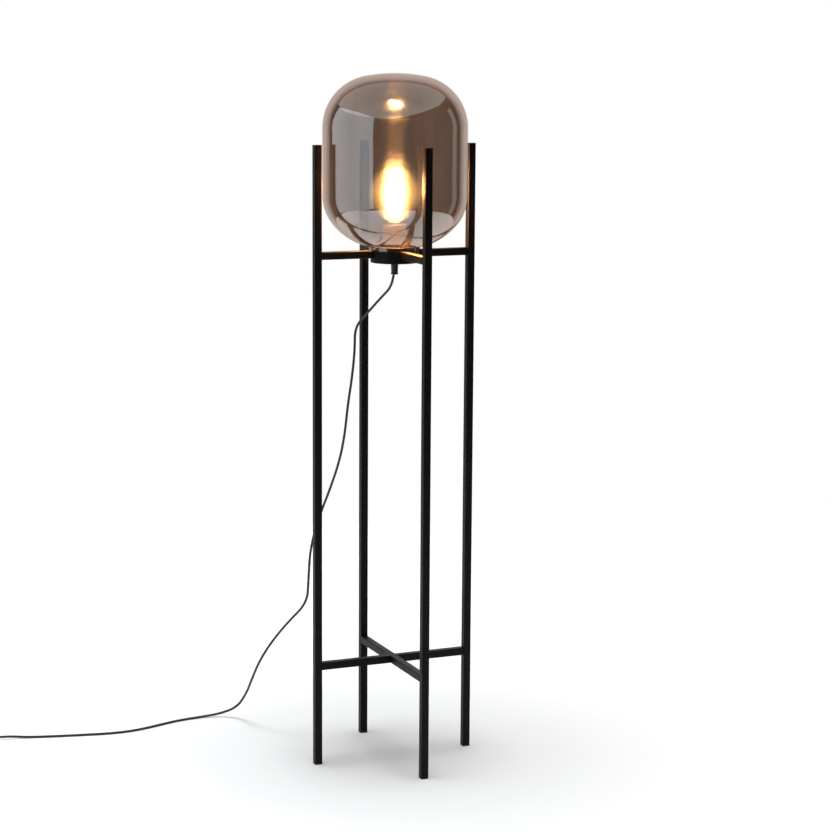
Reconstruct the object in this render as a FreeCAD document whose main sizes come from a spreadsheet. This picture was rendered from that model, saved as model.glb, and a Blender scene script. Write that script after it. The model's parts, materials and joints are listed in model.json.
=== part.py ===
import FreeCAD, Part
import math
import os
import Sketcher

# Globe floor lamp: a smoked glass shade that stands in a frame of four square-tube legs, with a
# globe bulb on a ceramic holder inside it, and a mains cord with a foot switch and a plug.
# Row frame: origin on the lamp's axis at the floor, +X to the right leg, +Y to the back leg, +Z up.
# All sizes are in millimetres.

os.makedirs("parts", exist_ok=True)
doc = FreeCAD.newDocument("GlobeFloorLamp")

SIZES = (
    # square tube of the frame
    ("tube_width", 15, "side of the square tube"),
    ("tube_wall", 1.5, "wall of the square tube"),
    ("tube_corner", 1.5, "outer corner radius of the tube"),
    ("bore_corner", 0.6, "corner radius of the tube's bore"),
    ("shade_gap", 12.5, "shade's widest part to each leg"),
    ("leg_height", 1235, "floor to the top of the leg caps"),
    ("cap_thickness", 1.5, "plate welded on top of each leg"),
    ("glide_height", 2, "part of the glide under the tube"),
    ("glide_depth", 12, "part of the glide inside the tube"),
    ("glide_clearance", 0.1, "glide to the tube's bore"),
    ("lower_bar_level", 202, "floor to the centre of the lower cross"),
    ("upper_arm_level", 1021.5, "floor to the centre of the upper arms"),
    ("weld_gap", 0.02, "between two welded pieces"),
    # hub that the four arms carry
    ("hub_radius", 47.75, "outer radius of the hub"),
    ("hub_wall", 1.5, "wall of the hub"),
    ("hub_deck", 2, "top plate of the hub"),
    ("hub_rise", 7, "tops of the upper arms to the hub's deck"),
    ("hub_height", 31.5, "lower edge to the deck"),
    ("hub_edge", 1.2, "rounding of the hub's edges"),
    ("cover_thickness", 2, "bottom cover of the hub"),
    ("cover_clearance", 0.15, "cover to the hub's wall"),
    ("post_radius", 3.5, "post that takes a cover screw"),
    ("post_offset", 34, "lamp axis to each post"),
    ("cover_screw_radius", 1.5, "thread of a cover screw"),
    ("cover_screw_head", 2.9, "head radius of a cover screw"),
    ("cover_screw_sink", 1.4, "depth of the countersink"),
    ("cover_screw_length", 10, "length of a cover screw"),
    ("thread_clearance", 0.05, "between a thread and its hole"),
    ("hole_clearance", 0.2, "between a screw and a plain hole"),
    # cord grip and the nipple that holds the lampholder
    ("cord_radius", 2.5, "radius of the mains cord"),
    ("cord_clearance", 0.1, "cord to the bore that it enters"),
    ("cord_seat", 8, "depth of the cord inside a boot"),
    ("grip_length", 24, "grip below the hub"),
    ("grip_top", 7.6, "grip radius at the hub"),
    ("grip_waist", 6.5, "grip radius above its lip"),
    ("grip_lip", 7.5, "radius of the lip"),
    ("grip_lip_height", 2.2, "height of the lip"),
    ("grip_chamfer", 1.2, "chamfer of the lip and its shoulder"),
    ("thread_radius", 5, "M10 thread of the grip and the nipple"),
    ("grip_neck", 10, "threaded neck of the grip above the hub's lower edge"),
    ("nipple_bore", 3.6, "bore of the nipple"),
    ("nipple_spare", 1.5, "nipple past its nut and past the bracket"),
    ("nut_flats", 14, "across the flats of the M10 nuts"),
    ("nut_thickness", 4, "thickness of the M10 nuts"),
    ("washer_radius", 9, "washer under the deck"),
    ("washer_thickness", 1, "thickness of the washer"),
    # lampholder
    ("holder_radius", 23, "outer radius of the ceramic body"),
    ("holder_height", 43, "height of the ceramic body"),
    ("holder_edge", 1.5, "rounding of the body's rim"),
    ("recess_radius", 19, "recess under the body"),
    ("recess_depth", 8, "depth of the recess"),
    ("web_thickness", 5, "floor between recess and socket"),
    ("socket_clearance", 0.5, "screw shell to the ceramic round it"),
    ("shell_radius", 14, "outer radius of the screw shell"),
    ("shell_wall", 0.5, "wall of the screw shell"),
    ("shell_height", 26, "height of the screw shell"),
    ("bracket_radius", 17, "steel bracket on the deck"),
    ("bracket_thickness", 1.5, "thickness of the bracket"),
    ("holder_screw_offset", 10, "lamp axis to each holder screw"),
    ("holder_screw_radius", 1.4, "thread of a holder screw"),
    ("holder_screw_head", 2.4, "head radius of a holder screw"),
    ("holder_screw_cap", 1.6, "head height of a holder screw"),
    ("contact_radius", 3, "centre contact"),
    ("contact_height", 3, "height of the centre contact"),
    ("terminal_offset", 11, "lamp axis to each terminal"),
    ("terminal_size", 6, "length and depth of a terminal"),
    ("terminal_rivet", 1.2, "rivet radius of a terminal"),
    ("core_radius", 0.95, "insulated core of the cord"),
    ("core_offset", 1.2, "cord's centre to each core"),
    ("core_bore", 2.4, "radius of the bore that both cores pass"),
    # globe bulb
    ("bulb_radius", 40, "radius of the globe"),
    ("bulb_centre", 86, "tip of the cap to the globe's centre"),
    ("bulb_clearance", 0.1, "glass neck to the cap"),
    ("bulb_flare", 35, "radius of the curve from neck to globe"),
    ("bulb_wall", 0.9, "glass of the bulb"),
    ("bulb_seat", 22, "tip of the cap to the glass's lower edge"),
    ("cap_clearance", 0.4, "screw cap of the bulb to the screw shell"),
    ("cap_wall", 0.4, "sheet of the screw cap"),
    ("cap_height", 27, "tip of the cap to its rim"),
    ("cap_shoulder", 11, "radius where the insulator meets the cap"),
    ("cap_foot", 5, "tip of the cap to its lower edge"),
    ("tip_radius", 4.5, "solder tip of the cap"),
    ("tip_height", 1.5, "height of the solder tip"),
    ("stem_clearance", 0.3, "stem's foot to the glass neck"),
    ("stem_radius", 3, "radius of the stem"),
    ("stem_height", 38, "height of the stem"),
    ("stem_flare", 14, "height of the stem's flared foot"),
    ("filament_ring", 14.5, "radius of the rings that carry the filaments"),
    ("filament_circle", 13, "radius at which the filaments stand"),
    ("filament_length", 48, "length of a filament"),
    ("filament_radius", 1.1, "radius of a filament"),
    ("ring_thickness", 0.8, "thickness of the rings and their post"),
    # glass shade, measured from its lower rim
    ("shade_radius", 142, "largest radius of the shade"),
    ("shade_height", 342.5, "rim to the crown"),
    ("shade_wall", 2.2, "glass of the shade"),
    ("neck_clearance", 0.55, "hub to the shade's neck"),
    ("crown_radius", 311, "curve of the crown"),
    ("shoulder_radius", 102.5, "curve from the wall to the crown"),
    ("belly_radius", 90, "curve from the wall downwards"),
    ("belly_level", 106, "rim to the lower end of the straight wall"),
    ("belly_angle", 39, "degrees through which the belly curve turns below the wall"),
    ("base_radius", 125, "flatter curve from the belly to the neck"),
    # foot switch, lying on the floor
    ("switch_x", -792, "lamp axis to the switch's centre, to the right"),
    ("switch_y", 390, "lamp axis to the switch's centre, backwards"),
    ("inlet_run", 42, "last run of the cord before the switch"),
    ("switch_length", 60, "length of the housing"),
    ("switch_width", 30, "width of the housing"),
    ("switch_corner", 11, "plan corner radius of the housing"),
    ("switch_base_height", 10, "height of the lower shell"),
    ("switch_cover_height", 12, "height of the upper shell"),
    ("switch_wall", 2, "wall of both shells"),
    ("switch_floor", 2.5, "floor of the lower shell"),
    ("switch_crown", 1.5, "rounding of the upper shell"),
    ("boot_length", 22, "tapered boot on the switch and the plug"),
    ("boot_root", 6, "boot radius at the housing"),
    ("boot_tip", 3.8, "boot radius at its end"),
    ("inlet_level", 6.5, "floor to the cord's axis at the switch"),
    ("button_radius", 9, "radius of the push button"),
    ("button_rise", 3, "button above the cover at rest"),
    ("button_travel", 2.5, "travel of the button"),
    ("button_gap", 0.3, "button to the cover's hole"),
    ("flange_radius", 10.6, "flange that keeps the button in"),
    ("flange_thickness", 1.5, "thickness of the flange"),
    ("guide_radius", 3.4, "pin under the button"),
    ("guide_length", 8.5, "length of the pin"),
    ("block_length", 30, "length of the contact block in the lower shell"),
    ("block_width", 14, "width of the contact block"),
    ("block_height", 9.5, "contact block above the floor of the shell"),
    ("block_bore", 5.9, "bore that takes the spring"),
    ("block_pit", 1.5, "floor left under the spring"),
    ("spring_radius", 4.9, "mean radius of the spring"),
    ("spring_wire", 0.35, "wire radius of the spring"),
    ("spring_turns", 5, "turns of the spring"),
    ("bridge_bore", 6.6, "inner radius of the contact ring"),
    ("bridge_thickness", 0.6, "thickness of the contact ring"),
    ("contact_offset", 8.4, "centre of the switch to each fixed contact"),
    ("contact_pin", 1.1, "radius of a fixed contact"),
    ("contact_gap", 0.1, "left open when the button is down"),
    ("core_turn", 6.5, "end of the housing to where the passing core turns"),
    ("core_aside", 3, "side of the contact block to the passing core"),
    ("switch_screw_x", 22, "centre of the switch to each screw, along it"),
    ("switch_screw_y", 8, "centre of the switch to each screw, across it"),
    ("switch_screw_radius", 1.2, "thread of a switch screw"),
    ("switch_screw_head", 2.3, "head radius of a switch screw"),
    ("switch_screw_sink", 1.2, "head height of a switch screw"),
    ("switch_screw_length", 9, "length of a switch screw"),
    ("boss_radius", 3, "boss of the upper shell"),
    # coil of spare cord and its ties
    ("coil_radius", 33.5, "radius of the outermost turn's centre line"),
    ("coil_pitch", 5.7, "from one turn to the next beside it"),
    ("coil_layer", 5.6, "from the lower layer to the upper one"),
    ("coil_layer_turns", 2, "turns in each layer"),
    ("tail_length", 50, "from the switch or the plug to the coil"),
    ("tie_width", 6, "width of a coil tie"),
    ("tie_thickness", 0.6, "thickness of a coil tie"),
    ("tie_clearance", 0.4, "tie to the cord"),
    # plug
    ("plug_width", 35.3, "width of the plug"),
    ("plug_thickness", 13.7, "thickness of the plug"),
    ("plug_length", 36, "length of the plug without boot and pins"),
    ("plug_face", 20, "length over which the plug keeps its full width"),
    ("plug_waist", 15, "width of the plug at the boot"),
    ("plug_edge", 2, "rounding of the plug's edges"),
    ("pin_radius", 2, "bare end of a pin"),
    ("pin_length", 19, "pin outside the plug"),
    ("pin_bare", 9, "bare part of a pin"),
    ("pin_core", 1.3, "pin inside its sleeve"),
    ("pin_root", 12, "pin inside the plug"),
    ("pin_spacing", 18.6, "between the two pins"),
    ("sleeve_radius", 1.75, "insulating sleeve of a pin"),
    ("pin_nose", 1.2, "rounding of a pin's end"),
)

sheet = doc.addObject("Spreadsheet::Sheet", "Sizes")
for row, (alias, size, meaning) in enumerate(SIZES, start=1):
    sheet.set(f"A{row}", alias)
    sheet.set(f"B{row}", str(size))
    sheet.set(f"C{row}", meaning)
    sheet.setAlias(f"B{row}", alias)
doc.recompute()

UP = FreeCAD.Vector(0, 0, 1)
SIDES = {"right": (1, 0), "back": (0, 1), "left": (-1, 0), "front": (0, -1)}
FILAMENTS = 8
LEG_OFFSET = "(Sizes.shade_radius + Sizes.shade_gap + Sizes.tube_width / 2)"
ARM_TOP = "(Sizes.upper_arm_level + Sizes.tube_width / 2)"
HUB_TOP = f"({ARM_TOP} + Sizes.hub_rise)"
HUB_BASE = f"({HUB_TOP} - Sizes.hub_height)"
DECK_UNDERSIDE = f"({HUB_TOP} - Sizes.hub_deck)"
WEB_TOP = f"({HUB_TOP} + Sizes.recess_depth + Sizes.web_thickness)"
BULB_BASE = f"({WEB_TOP} + Sizes.contact_height)"
SOCKET_RADIUS = "(Sizes.shell_radius + Sizes.socket_clearance)"
CAP_RADIUS = "(Sizes.shell_radius - Sizes.shell_wall - Sizes.cap_clearance)"
BULB_NECK = f"({CAP_RADIUS} - Sizes.cap_wall - Sizes.bulb_clearance)"
STEM_FOOT = f"({BULB_NECK} - Sizes.bulb_wall - Sizes.stem_clearance)"
SHADE_NECK = "(Sizes.hub_radius + Sizes.neck_clearance + Sizes.shade_wall)"
SEAT_REACH = "(Sizes.switch_length / 2 + Sizes.boot_length - Sizes.cord_seat)"
COIL_X = f"(Sizes.switch_x - {SEAT_REACH} - Sizes.tail_length - 2 * Sizes.cord_radius)"
COIL_Y = "(Sizes.switch_y + Sizes.coil_radius)"
SWITCH_CEILING = "(Sizes.switch_base_height + Sizes.switch_cover_height - Sizes.switch_wall)"
SPRING_SEAT = "(Sizes.switch_floor + Sizes.block_pit)"
PLUG_LEVEL = "(Sizes.plug_thickness / 2)"
PLUG_RUN_END = f"({COIL_X} + 2 * Sizes.cord_radius + Sizes.tail_length)"
PLUG_X = f"({PLUG_RUN_END} - Sizes.cord_seat + Sizes.boot_length + Sizes.plug_length)"
PLUG_Y = f"({COIL_Y} + Sizes.coil_radius)"
TIE_REACH = "(Sizes.cord_radius + Sizes.tie_clearance + Sizes.tie_thickness)"
ARC_SHARE = 0.45
LEVEL_SHARE = 0.32
REVERSAL_TURNS = 0.5
GAP_SAMPLE = 2
VOLUME_TOLERANCE = 0.002
NEGLIGIBLE = 1e-6
pieces = []


def value(expression):
    """The number that an expression on the sheet gives."""
    result = sheet.evalExpression(expression)
    return float(getattr(result, "Value", result))


def vector(x, y, z):
    """A point whose coordinates are expressions on the sheet."""
    return FreeCAD.Vector(value(x), value(y), value(z))


def place(thing, x="0", y="0", z="0", rotation=None):
    """Put an object at a place that follows the sheet."""
    thing.Placement = FreeCAD.Placement(FreeCAD.Vector(), rotation or FreeCAD.Rotation())
    thing.setExpression(".Placement.Base.x", x)
    thing.setExpression(".Placement.Base.y", y)
    thing.setExpression(".Placement.Base.z", z)
    return thing


def finish(thing, label):
    """Name a finished piece; its label names its file."""
    thing.Label = label
    pieces.append(thing)
    return thing


# Outlines. A corner is (across, up) or (across, up, bend). A bend is the radius of the arc to the
# next corner, with its centre on the left of the way there, or on the right if it is negative.


def arc_between(start, finish_point, bend):
    """The short arc of a given radius between two points of a sketch."""
    chord = finish_point - start
    radius = abs(bend)
    reach = math.sqrt(radius**2 - (chord.Length / 2) ** 2)
    left = FreeCAD.Vector(-chord.y, chord.x, 0).normalize()
    side = math.copysign(1, bend)
    centre = (start + finish_point) * 0.5 + left * (reach * side)
    circle = Part.Circle(centre, UP, radius)
    first, last = (start, finish_point) if side > 0 else (finish_point, start)
    angles = [math.atan2(p.y - centre.y, p.x - centre.x) for p in (first, last)]
    return Part.ArcOfCircle(circle, *angles)


def pin_down(sketch, edge, point, axis_name, expression):
    """Hold one coordinate of a corner to its expression.

    A sketch calls its origin and level axis -1, and its upright axis -2.
    """
    if expression == "0":
        axis = -2 if axis_name == "DistanceX" else -1
        sketch.addConstraint(Sketcher.Constraint("PointOnObject", edge, point, axis))
        return
    held = Sketcher.Constraint(axis_name, -1, 1, edge, point, value(expression))
    number = sketch.addConstraint(held)
    sketch.setExpression(f"Constraints[{number}]", expression)


def draw_loop(sketch, corners):
    """Draw one closed outline and hold every corner and bend to the sheet."""
    spots = [FreeCAD.Vector(value(c[0]), value(c[1]), 0) for c in corners]
    first = sketch.GeometryCount
    starts = []
    for index, corner in enumerate(corners):
        here = spots[index]
        there = spots[(index + 1) % len(corners)]
        if len(corner) == 2:
            sketch.addGeometry(Part.LineSegment(here, there))
            starts.append(1)
        else:
            bend = value(corner[2])
            sketch.addGeometry(arc_between(here, there, bend))
            starts.append(1 if bend > 0 else 2)
    for index, corner in enumerate(corners):
        edge = first + index
        following = (index + 1) % len(corners)
        joint = Sketcher.Constraint(
            "Coincident", edge, 3 - starts[index], first + following, starts[following]
        )
        sketch.addConstraint(joint)
        pin_down(sketch, edge, starts[index], "DistanceX", corner[0])
        pin_down(sketch, edge, starts[index], "DistanceY", corner[1])
        if len(corner) == 3:
            radius = Sketcher.Constraint("Radius", edge, abs(value(corner[2])))
            number = sketch.addConstraint(radius)
            sketch.setExpression(f"Constraints[{number}]", f"abs({corner[2]})")


def new_sketch(body, role, *loops, lift="0"):
    """A sketch on one of the body's own planes."""
    sketch = body.newObject("Sketcher::SketchObject", f"{body.Name}_sketch")
    plane = next(f for f in body.Origin.OriginFeatures if f.Role == role)
    sketch.AttachmentSupport = [(plane, "")]
    sketch.MapMode = "FlatFace"
    sketch.setExpression(".AttachmentOffset.Base.z", lift)
    for corners in loops:
        draw_loop(sketch, corners)
    return sketch


def turned(name, corners):
    """A body turned on a lathe: corners are (radius, height)."""
    body = doc.addObject("PartDesign::Body", name)
    sketch = new_sketch(body, "XZ_Plane", corners)
    turning = body.newObject("PartDesign::Revolution", f"{name}_turning")
    turning.Profile = sketch
    turning.ReferenceAxis = (sketch, ["V_Axis"])
    turning.Angle = 360
    return body


def pad(body, sketch, length):
    """Extrude a sketch of the body upwards."""
    feature = body.newObject("PartDesign::Pad", f"{body.Name}_pad")
    feature.Profile = sketch
    feature.setExpression("Length", length)
    return feature


def rounded(width, depth, corner):
    """Corners of a rounded rectangle about the origin."""
    far_x, far_y = f"({width}) / 2", f"({depth}) / 2"
    near_x, near_y = f"(({width}) / 2 - {corner})", f"(({depth}) / 2 - {corner})"
    return [
        (f"-{near_x}", f"-({far_y})"),
        (near_x, f"-({far_y})", corner),
        (far_x, f"-{near_y}"),
        (far_x, near_y, corner),
        (near_x, far_y),
        (f"-{near_x}", far_y, corner),
        (f"-({far_x})", near_y),
        (f"-({far_x})", f"-{near_y}", corner),
    ]


def cylinder(radius, height, x="0", y="0", z="0", rotation=None):
    """A plain cylinder that follows the sheet."""
    solid = doc.addObject("Part::Cylinder", "cylinder")
    solid.setExpression("Radius", radius)
    solid.setExpression("Height", height)
    return place(solid, x, y, z, rotation)


def block(length, width, height, x="0", y="0", z="0"):
    """A box centred on x and y that stands on z."""
    solid = doc.addObject("Part::Box", "block")
    solid.setExpression("Length", length)
    solid.setExpression("Width", width)
    solid.setExpression("Height", height)
    return place(solid, f"{x} - ({length}) / 2", f"{y} - ({width}) / 2", z)


def cut(base, *tools):
    """Take the tools away from the base."""
    tool = tools[0] if len(tools) == 1 else fuse(*tools)
    result = doc.addObject("Part::Cut", "cut")
    result.Base = base
    result.Tool = tool
    return result


def fuse(*solids):
    """Join solids into one."""
    result = doc.addObject("Part::MultiFuse", "fuse")
    result.Shapes = list(solids)
    return result


def group(*solids):
    """Keep separate solids in one piece."""
    result = doc.addObject("Part::Compound", "group")
    result.Links = list(solids)
    return result


def mirrored(solid):
    """The same solid on the other side of the YZ plane."""
    result = doc.addObject("Part::Mirroring", "mirrored")
    result.Source = solid
    result.Normal = FreeCAD.Vector(1, 0, 0)
    return result


# Frame of square tube


def square_tube(name, length):
    """A length of the frame's tube, standing on its own origin."""
    body = doc.addObject("PartDesign::Body", name)
    bore = "(Sizes.tube_width - 2 * Sizes.tube_wall)"
    outside = rounded("Sizes.tube_width", "Sizes.tube_width", "Sizes.tube_corner")
    inside = rounded(bore, bore, "Sizes.bore_corner")
    pad(body, new_sketch(body, "XY_Plane", outside, inside), length)
    return body


def make_leg(side, along_x, along_y):
    """A leg with the plate on its top and the glide in its foot."""
    x, y = f"{along_x} * {LEG_OFFSET}", f"{along_y} * {LEG_OFFSET}"
    length = "Sizes.leg_height - Sizes.cap_thickness - Sizes.glide_height"
    leg = square_tube(f"leg_{side}", length)
    finish(place(leg, x, y, "Sizes.glide_height"), f"leg_{side}")

    cap = doc.addObject("PartDesign::Body", f"leg_cap_{side}")
    plate = rounded("Sizes.tube_width", "Sizes.tube_width", "Sizes.tube_corner")
    pad(cap, new_sketch(cap, "XY_Plane", plate), "Sizes.cap_thickness")
    top = "Sizes.leg_height - Sizes.cap_thickness"
    finish(place(cap, x, y, top), f"leg_cap_{side}")

    glide = doc.addObject("PartDesign::Body", f"glide_{side}")
    pad(glide, new_sketch(glide, "XY_Plane", plate), "Sizes.glide_height")
    width = "(Sizes.tube_width - 2 * Sizes.tube_wall - 2 * Sizes.glide_clearance)"
    plug = rounded(width, width, "Sizes.bore_corner")
    inner = new_sketch(glide, "XY_Plane", plug, lift="Sizes.glide_height")
    pad(glide, inner, "Sizes.glide_depth")
    finish(place(glide, x, y), f"glide_{side}")


def make_lower_cross():
    """One long bar from leg to leg, and a half bar on each side of it."""
    reach = f"({LEG_OFFSET} - Sizes.tube_width / 2)"
    rightwards = FreeCAD.Rotation(UP, FreeCAD.Vector(1, 0, 0))
    long_bar = square_tube("lower_bar_long", f"2 * {reach} - 2 * Sizes.weld_gap")
    place(long_bar, f"-{reach} + Sizes.weld_gap", "0", "Sizes.lower_bar_level", rightwards)
    finish(long_bar, "lower_bar_long")
    for side in ("back", "front"):
        facing = SIDES[side][1]
        length = f"{reach} - Sizes.tube_width / 2 - 2 * Sizes.weld_gap"
        bar = square_tube(f"lower_bar_{side}", length)
        away = FreeCAD.Rotation(UP, FreeCAD.Vector(0, facing, 0))
        start = f"{facing} * (Sizes.tube_width / 2 + Sizes.weld_gap)"
        place(bar, "0", start, "Sizes.lower_bar_level", away)
        finish(bar, f"lower_bar_{side}")


def make_upper_arm(side, along_x, along_y):
    """An arm from a leg to the hub, its end shaped to the hub's wall."""
    start = "(Sizes.hub_radius - Sizes.tube_width / 2)"
    length = f"{LEG_OFFSET} - Sizes.tube_width / 2 - Sizes.weld_gap - {start}"
    arm = square_tube(f"arm_stock_{side}", length)
    outwards = FreeCAD.Rotation(UP, FreeCAD.Vector(along_x, along_y, 0))
    x, y = f"{along_x} * {start}", f"{along_y} * {start}"
    place(arm, x, y, "Sizes.upper_arm_level", outwards)
    wall = cylinder("Sizes.hub_radius + Sizes.weld_gap", "Sizes.hub_height", z=HUB_BASE)
    finish(cut(arm, wall), f"upper_arm_{side}")


# Hub, cord grip and the nut and washer on the nipple


def make_hub():
    """A spun cup, open below, with two posts for the cover's screws."""
    inside = "(Sizes.hub_radius - Sizes.hub_wall)"
    ceiling = "(Sizes.hub_height - Sizes.hub_deck)"
    corners = [
        (inside, "0"),
        ("Sizes.hub_radius - Sizes.hub_edge", "0", "Sizes.hub_edge"),
        ("Sizes.hub_radius", "Sizes.hub_edge"),
        ("Sizes.hub_radius", "Sizes.hub_height - Sizes.hub_edge", "Sizes.hub_edge"),
        ("Sizes.hub_radius - Sizes.hub_edge", "Sizes.hub_height"),
        ("Sizes.thread_radius + Sizes.hole_clearance", "Sizes.hub_height"),
        ("Sizes.thread_radius + Sizes.hole_clearance", ceiling),
        (inside, ceiling),
    ]
    cup = place(turned("hub_shell", corners), z=HUB_BASE)
    floor = f"{HUB_BASE} + Sizes.cover_thickness"
    height = "Sizes.hub_height - Sizes.hub_deck - Sizes.cover_thickness"
    pilot = "Sizes.cover_screw_radius + Sizes.thread_clearance"
    posts = [cylinder("Sizes.post_radius", height, f"{s} * Sizes.post_offset", z=floor) for s in (-1, 1)]
    pilots = [cylinder(pilot, height, f"{s} * Sizes.post_offset", z=floor) for s in (-1, 1)]
    finish(cut(fuse(cup, *posts), *pilots), "hub_cup")


def make_hub_cover():
    """The round cover, let into the hub, with its two countersunk screws."""
    disc = cylinder(
        "Sizes.hub_radius - Sizes.hub_wall - Sizes.cover_clearance",
        "Sizes.cover_thickness",
        z=HUB_BASE,
    )
    neck_hole = cylinder(
        "Sizes.thread_radius + Sizes.hole_clearance", "Sizes.cover_thickness", z=HUB_BASE
    )
    sinks = []
    for side in (-1, 1):
        sink = turned(
            "screw_hole",
            [
                ("0", "0"),
                ("Sizes.cover_screw_head + Sizes.hole_clearance", "0"),
                ("Sizes.cover_screw_radius + Sizes.hole_clearance", "Sizes.cover_screw_sink"),
                ("Sizes.cover_screw_radius + Sizes.hole_clearance", "Sizes.cover_thickness"),
                ("0", "Sizes.cover_thickness"),
            ],
        )
        sinks.append(place(sink, f"{side} * Sizes.post_offset", z=HUB_BASE))
    finish(cut(disc, neck_hole, *sinks), "hub_cover")

    screw = turned(
        "cover_screw",
        [
            ("0", "0"),
            ("Sizes.cover_screw_head", "0"),
            ("Sizes.cover_screw_radius", "Sizes.cover_screw_sink"),
            ("Sizes.cover_screw_radius", "Sizes.cover_screw_length"),
            ("0", "Sizes.cover_screw_length"),
        ],
    )
    place(screw, "Sizes.post_offset", z=HUB_BASE)
    finish(group(screw, mirrored(screw)), "cover_screws")


def make_grip():
    """The tapered grip that the cord leaves by; its neck passes the cover and takes a nut."""
    bore = "Sizes.cord_radius + Sizes.cord_clearance"
    neck_top = "Sizes.grip_length + Sizes.grip_neck"
    corners = [
        (bore, "0"),
        ("Sizes.grip_lip - Sizes.grip_chamfer", "0"),
        ("Sizes.grip_lip", "Sizes.grip_chamfer"),
        ("Sizes.grip_lip", "Sizes.grip_lip_height"),
        ("Sizes.grip_waist", "Sizes.grip_lip_height + Sizes.grip_chamfer"),
        ("Sizes.grip_top", "Sizes.grip_length"),
        ("Sizes.thread_radius", "Sizes.grip_length"),
        ("Sizes.thread_radius", neck_top),
        (bore, neck_top),
    ]
    grip = turned("cord_grip", corners)
    finish(place(grip, z=f"{HUB_BASE} - Sizes.grip_length"), "cord_grip")


def make_nut(label, level):
    """A hexagon nut on the M10 thread."""
    prism = doc.addObject("Part::Prism", "prism")
    prism.Polygon = 6
    prism.setExpression("Circumradius", "Sizes.nut_flats / sqrt(3)")
    prism.setExpression("Height", "Sizes.nut_thickness")
    place(prism, z=level)
    bore = cylinder("Sizes.thread_radius + Sizes.thread_clearance", "Sizes.nut_thickness", z=level)
    finish(cut(prism, bore), label)


def make_nipple():
    """The threaded tube through the deck, with its washer; it holds the lampholder's bracket."""
    nut_level = f"({DECK_UNDERSIDE} - Sizes.washer_thickness - Sizes.nut_thickness)"
    foot = f"({nut_level} - Sizes.nipple_spare)"
    length = f"{HUB_TOP} + Sizes.bracket_thickness + Sizes.nipple_spare - {foot}"
    tube = cylinder("Sizes.thread_radius", length, z=foot)
    bore = cylinder("Sizes.nipple_bore", length, z=foot)
    finish(cut(tube, bore), "nipple")
    make_nut("nipple_nut", nut_level)
    level = f"{DECK_UNDERSIDE} - Sizes.washer_thickness"
    washer = cylinder("Sizes.washer_radius", "Sizes.washer_thickness", z=level)
    hole = cylinder("Sizes.thread_radius + Sizes.hole_clearance", "Sizes.washer_thickness", z=level)
    finish(cut(washer, hole), "nipple_washer")


# Lampholder


def make_holder():
    """The ceramic body: a recess for the wiring below, and the socket above."""
    web_top = "(Sizes.recess_depth + Sizes.web_thickness)"
    corners = [
        ("Sizes.recess_radius", "0"),
        ("Sizes.holder_radius", "0"),
        ("Sizes.holder_radius", "Sizes.holder_height - Sizes.holder_edge", "Sizes.holder_edge"),
        ("Sizes.holder_radius - Sizes.holder_edge", "Sizes.holder_height"),
        (SOCKET_RADIUS, "Sizes.holder_height"),
        (SOCKET_RADIUS, web_top),
        ("0", web_top),
        ("0", "Sizes.recess_depth"),
        ("Sizes.recess_radius", "Sizes.recess_depth"),
    ]
    ceramic = place(turned("holder_ceramic", corners), z=HUB_TOP)
    web = f"{HUB_TOP} + Sizes.recess_depth"
    holes = []
    for side in (-1, 1):
        screw = "Sizes.holder_screw_radius + Sizes.hole_clearance"
        rivet = "Sizes.terminal_rivet + Sizes.hole_clearance"
        screw_y = f"{side} * Sizes.holder_screw_offset"
        rivet_x = f"{side} * Sizes.terminal_offset"
        holes.append(cylinder(screw, "Sizes.web_thickness", y=screw_y, z=web))
        holes.append(cylinder(rivet, "Sizes.web_thickness", rivet_x, z=web))
    finish(cut(ceramic, *holes), "holder_body")


def make_holder_metal():
    """The screw shell, the centre contact, the terminals, the bracket and its screws."""
    tube = cylinder("Sizes.shell_radius", "Sizes.shell_height", z=WEB_TOP)
    bore = cylinder("Sizes.shell_radius - Sizes.shell_wall", "Sizes.shell_height", z=WEB_TOP)
    finish(cut(tube, bore), "screw_shell")

    contact = cylinder("Sizes.contact_radius", "Sizes.contact_height", z=WEB_TOP)
    finish(contact, "centre_contact")

    size = "Sizes.terminal_size"
    level = f"{HUB_TOP} + Sizes.recess_depth - {size}"
    terminals = []
    for side in (-1, 1):
        x = f"{side} * Sizes.terminal_offset"
        body = block(size, size, size, x, "0", level)
        rivet = cylinder("Sizes.terminal_rivet", f"{size} + Sizes.web_thickness", x, z=level)
        terminals.append(fuse(body, rivet))
    finish(group(*terminals), "holder_terminals")

    plate = cylinder("Sizes.bracket_radius", "Sizes.bracket_thickness", z=HUB_TOP)
    thread = cylinder(
        "Sizes.thread_radius + Sizes.thread_clearance", "Sizes.bracket_thickness", z=HUB_TOP
    )
    pilots = []
    screws = []
    shank = "Sizes.holder_screw_radius"
    for side in (-1, 1):
        y = f"{side} * Sizes.holder_screw_offset"
        pilot = f"{shank} + Sizes.thread_clearance"
        pilots.append(cylinder(pilot, "Sizes.bracket_thickness", y=y, z=HUB_TOP))
        length = "Sizes.recess_depth + Sizes.web_thickness"
        head = cylinder("Sizes.holder_screw_head", "Sizes.holder_screw_cap", y=y, z=WEB_TOP)
        screws.append(fuse(cylinder(shank, length, y=y, z=HUB_TOP), head))
    finish(cut(plate, thread, *pilots), "holder_bracket")
    finish(group(*screws), "holder_screws")


# Globe bulb, drawn from the tip of its cap


def globe_touch(inset):
    """Where the globe's curve and the neck's curve touch, as (radius, height)."""
    span = "(Sizes.bulb_radius + Sizes.bulb_flare)"
    share = f"((Sizes.bulb_radius - {inset}) / {span})"
    reach = f"({BULB_NECK} + Sizes.bulb_flare)"
    drop = f"sqrt({span} ^ 2 - {reach} ^ 2)"
    return f"{reach} * {share}", f"Sizes.bulb_centre - {drop} * {share}", f"Sizes.bulb_centre - {drop}"


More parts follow.
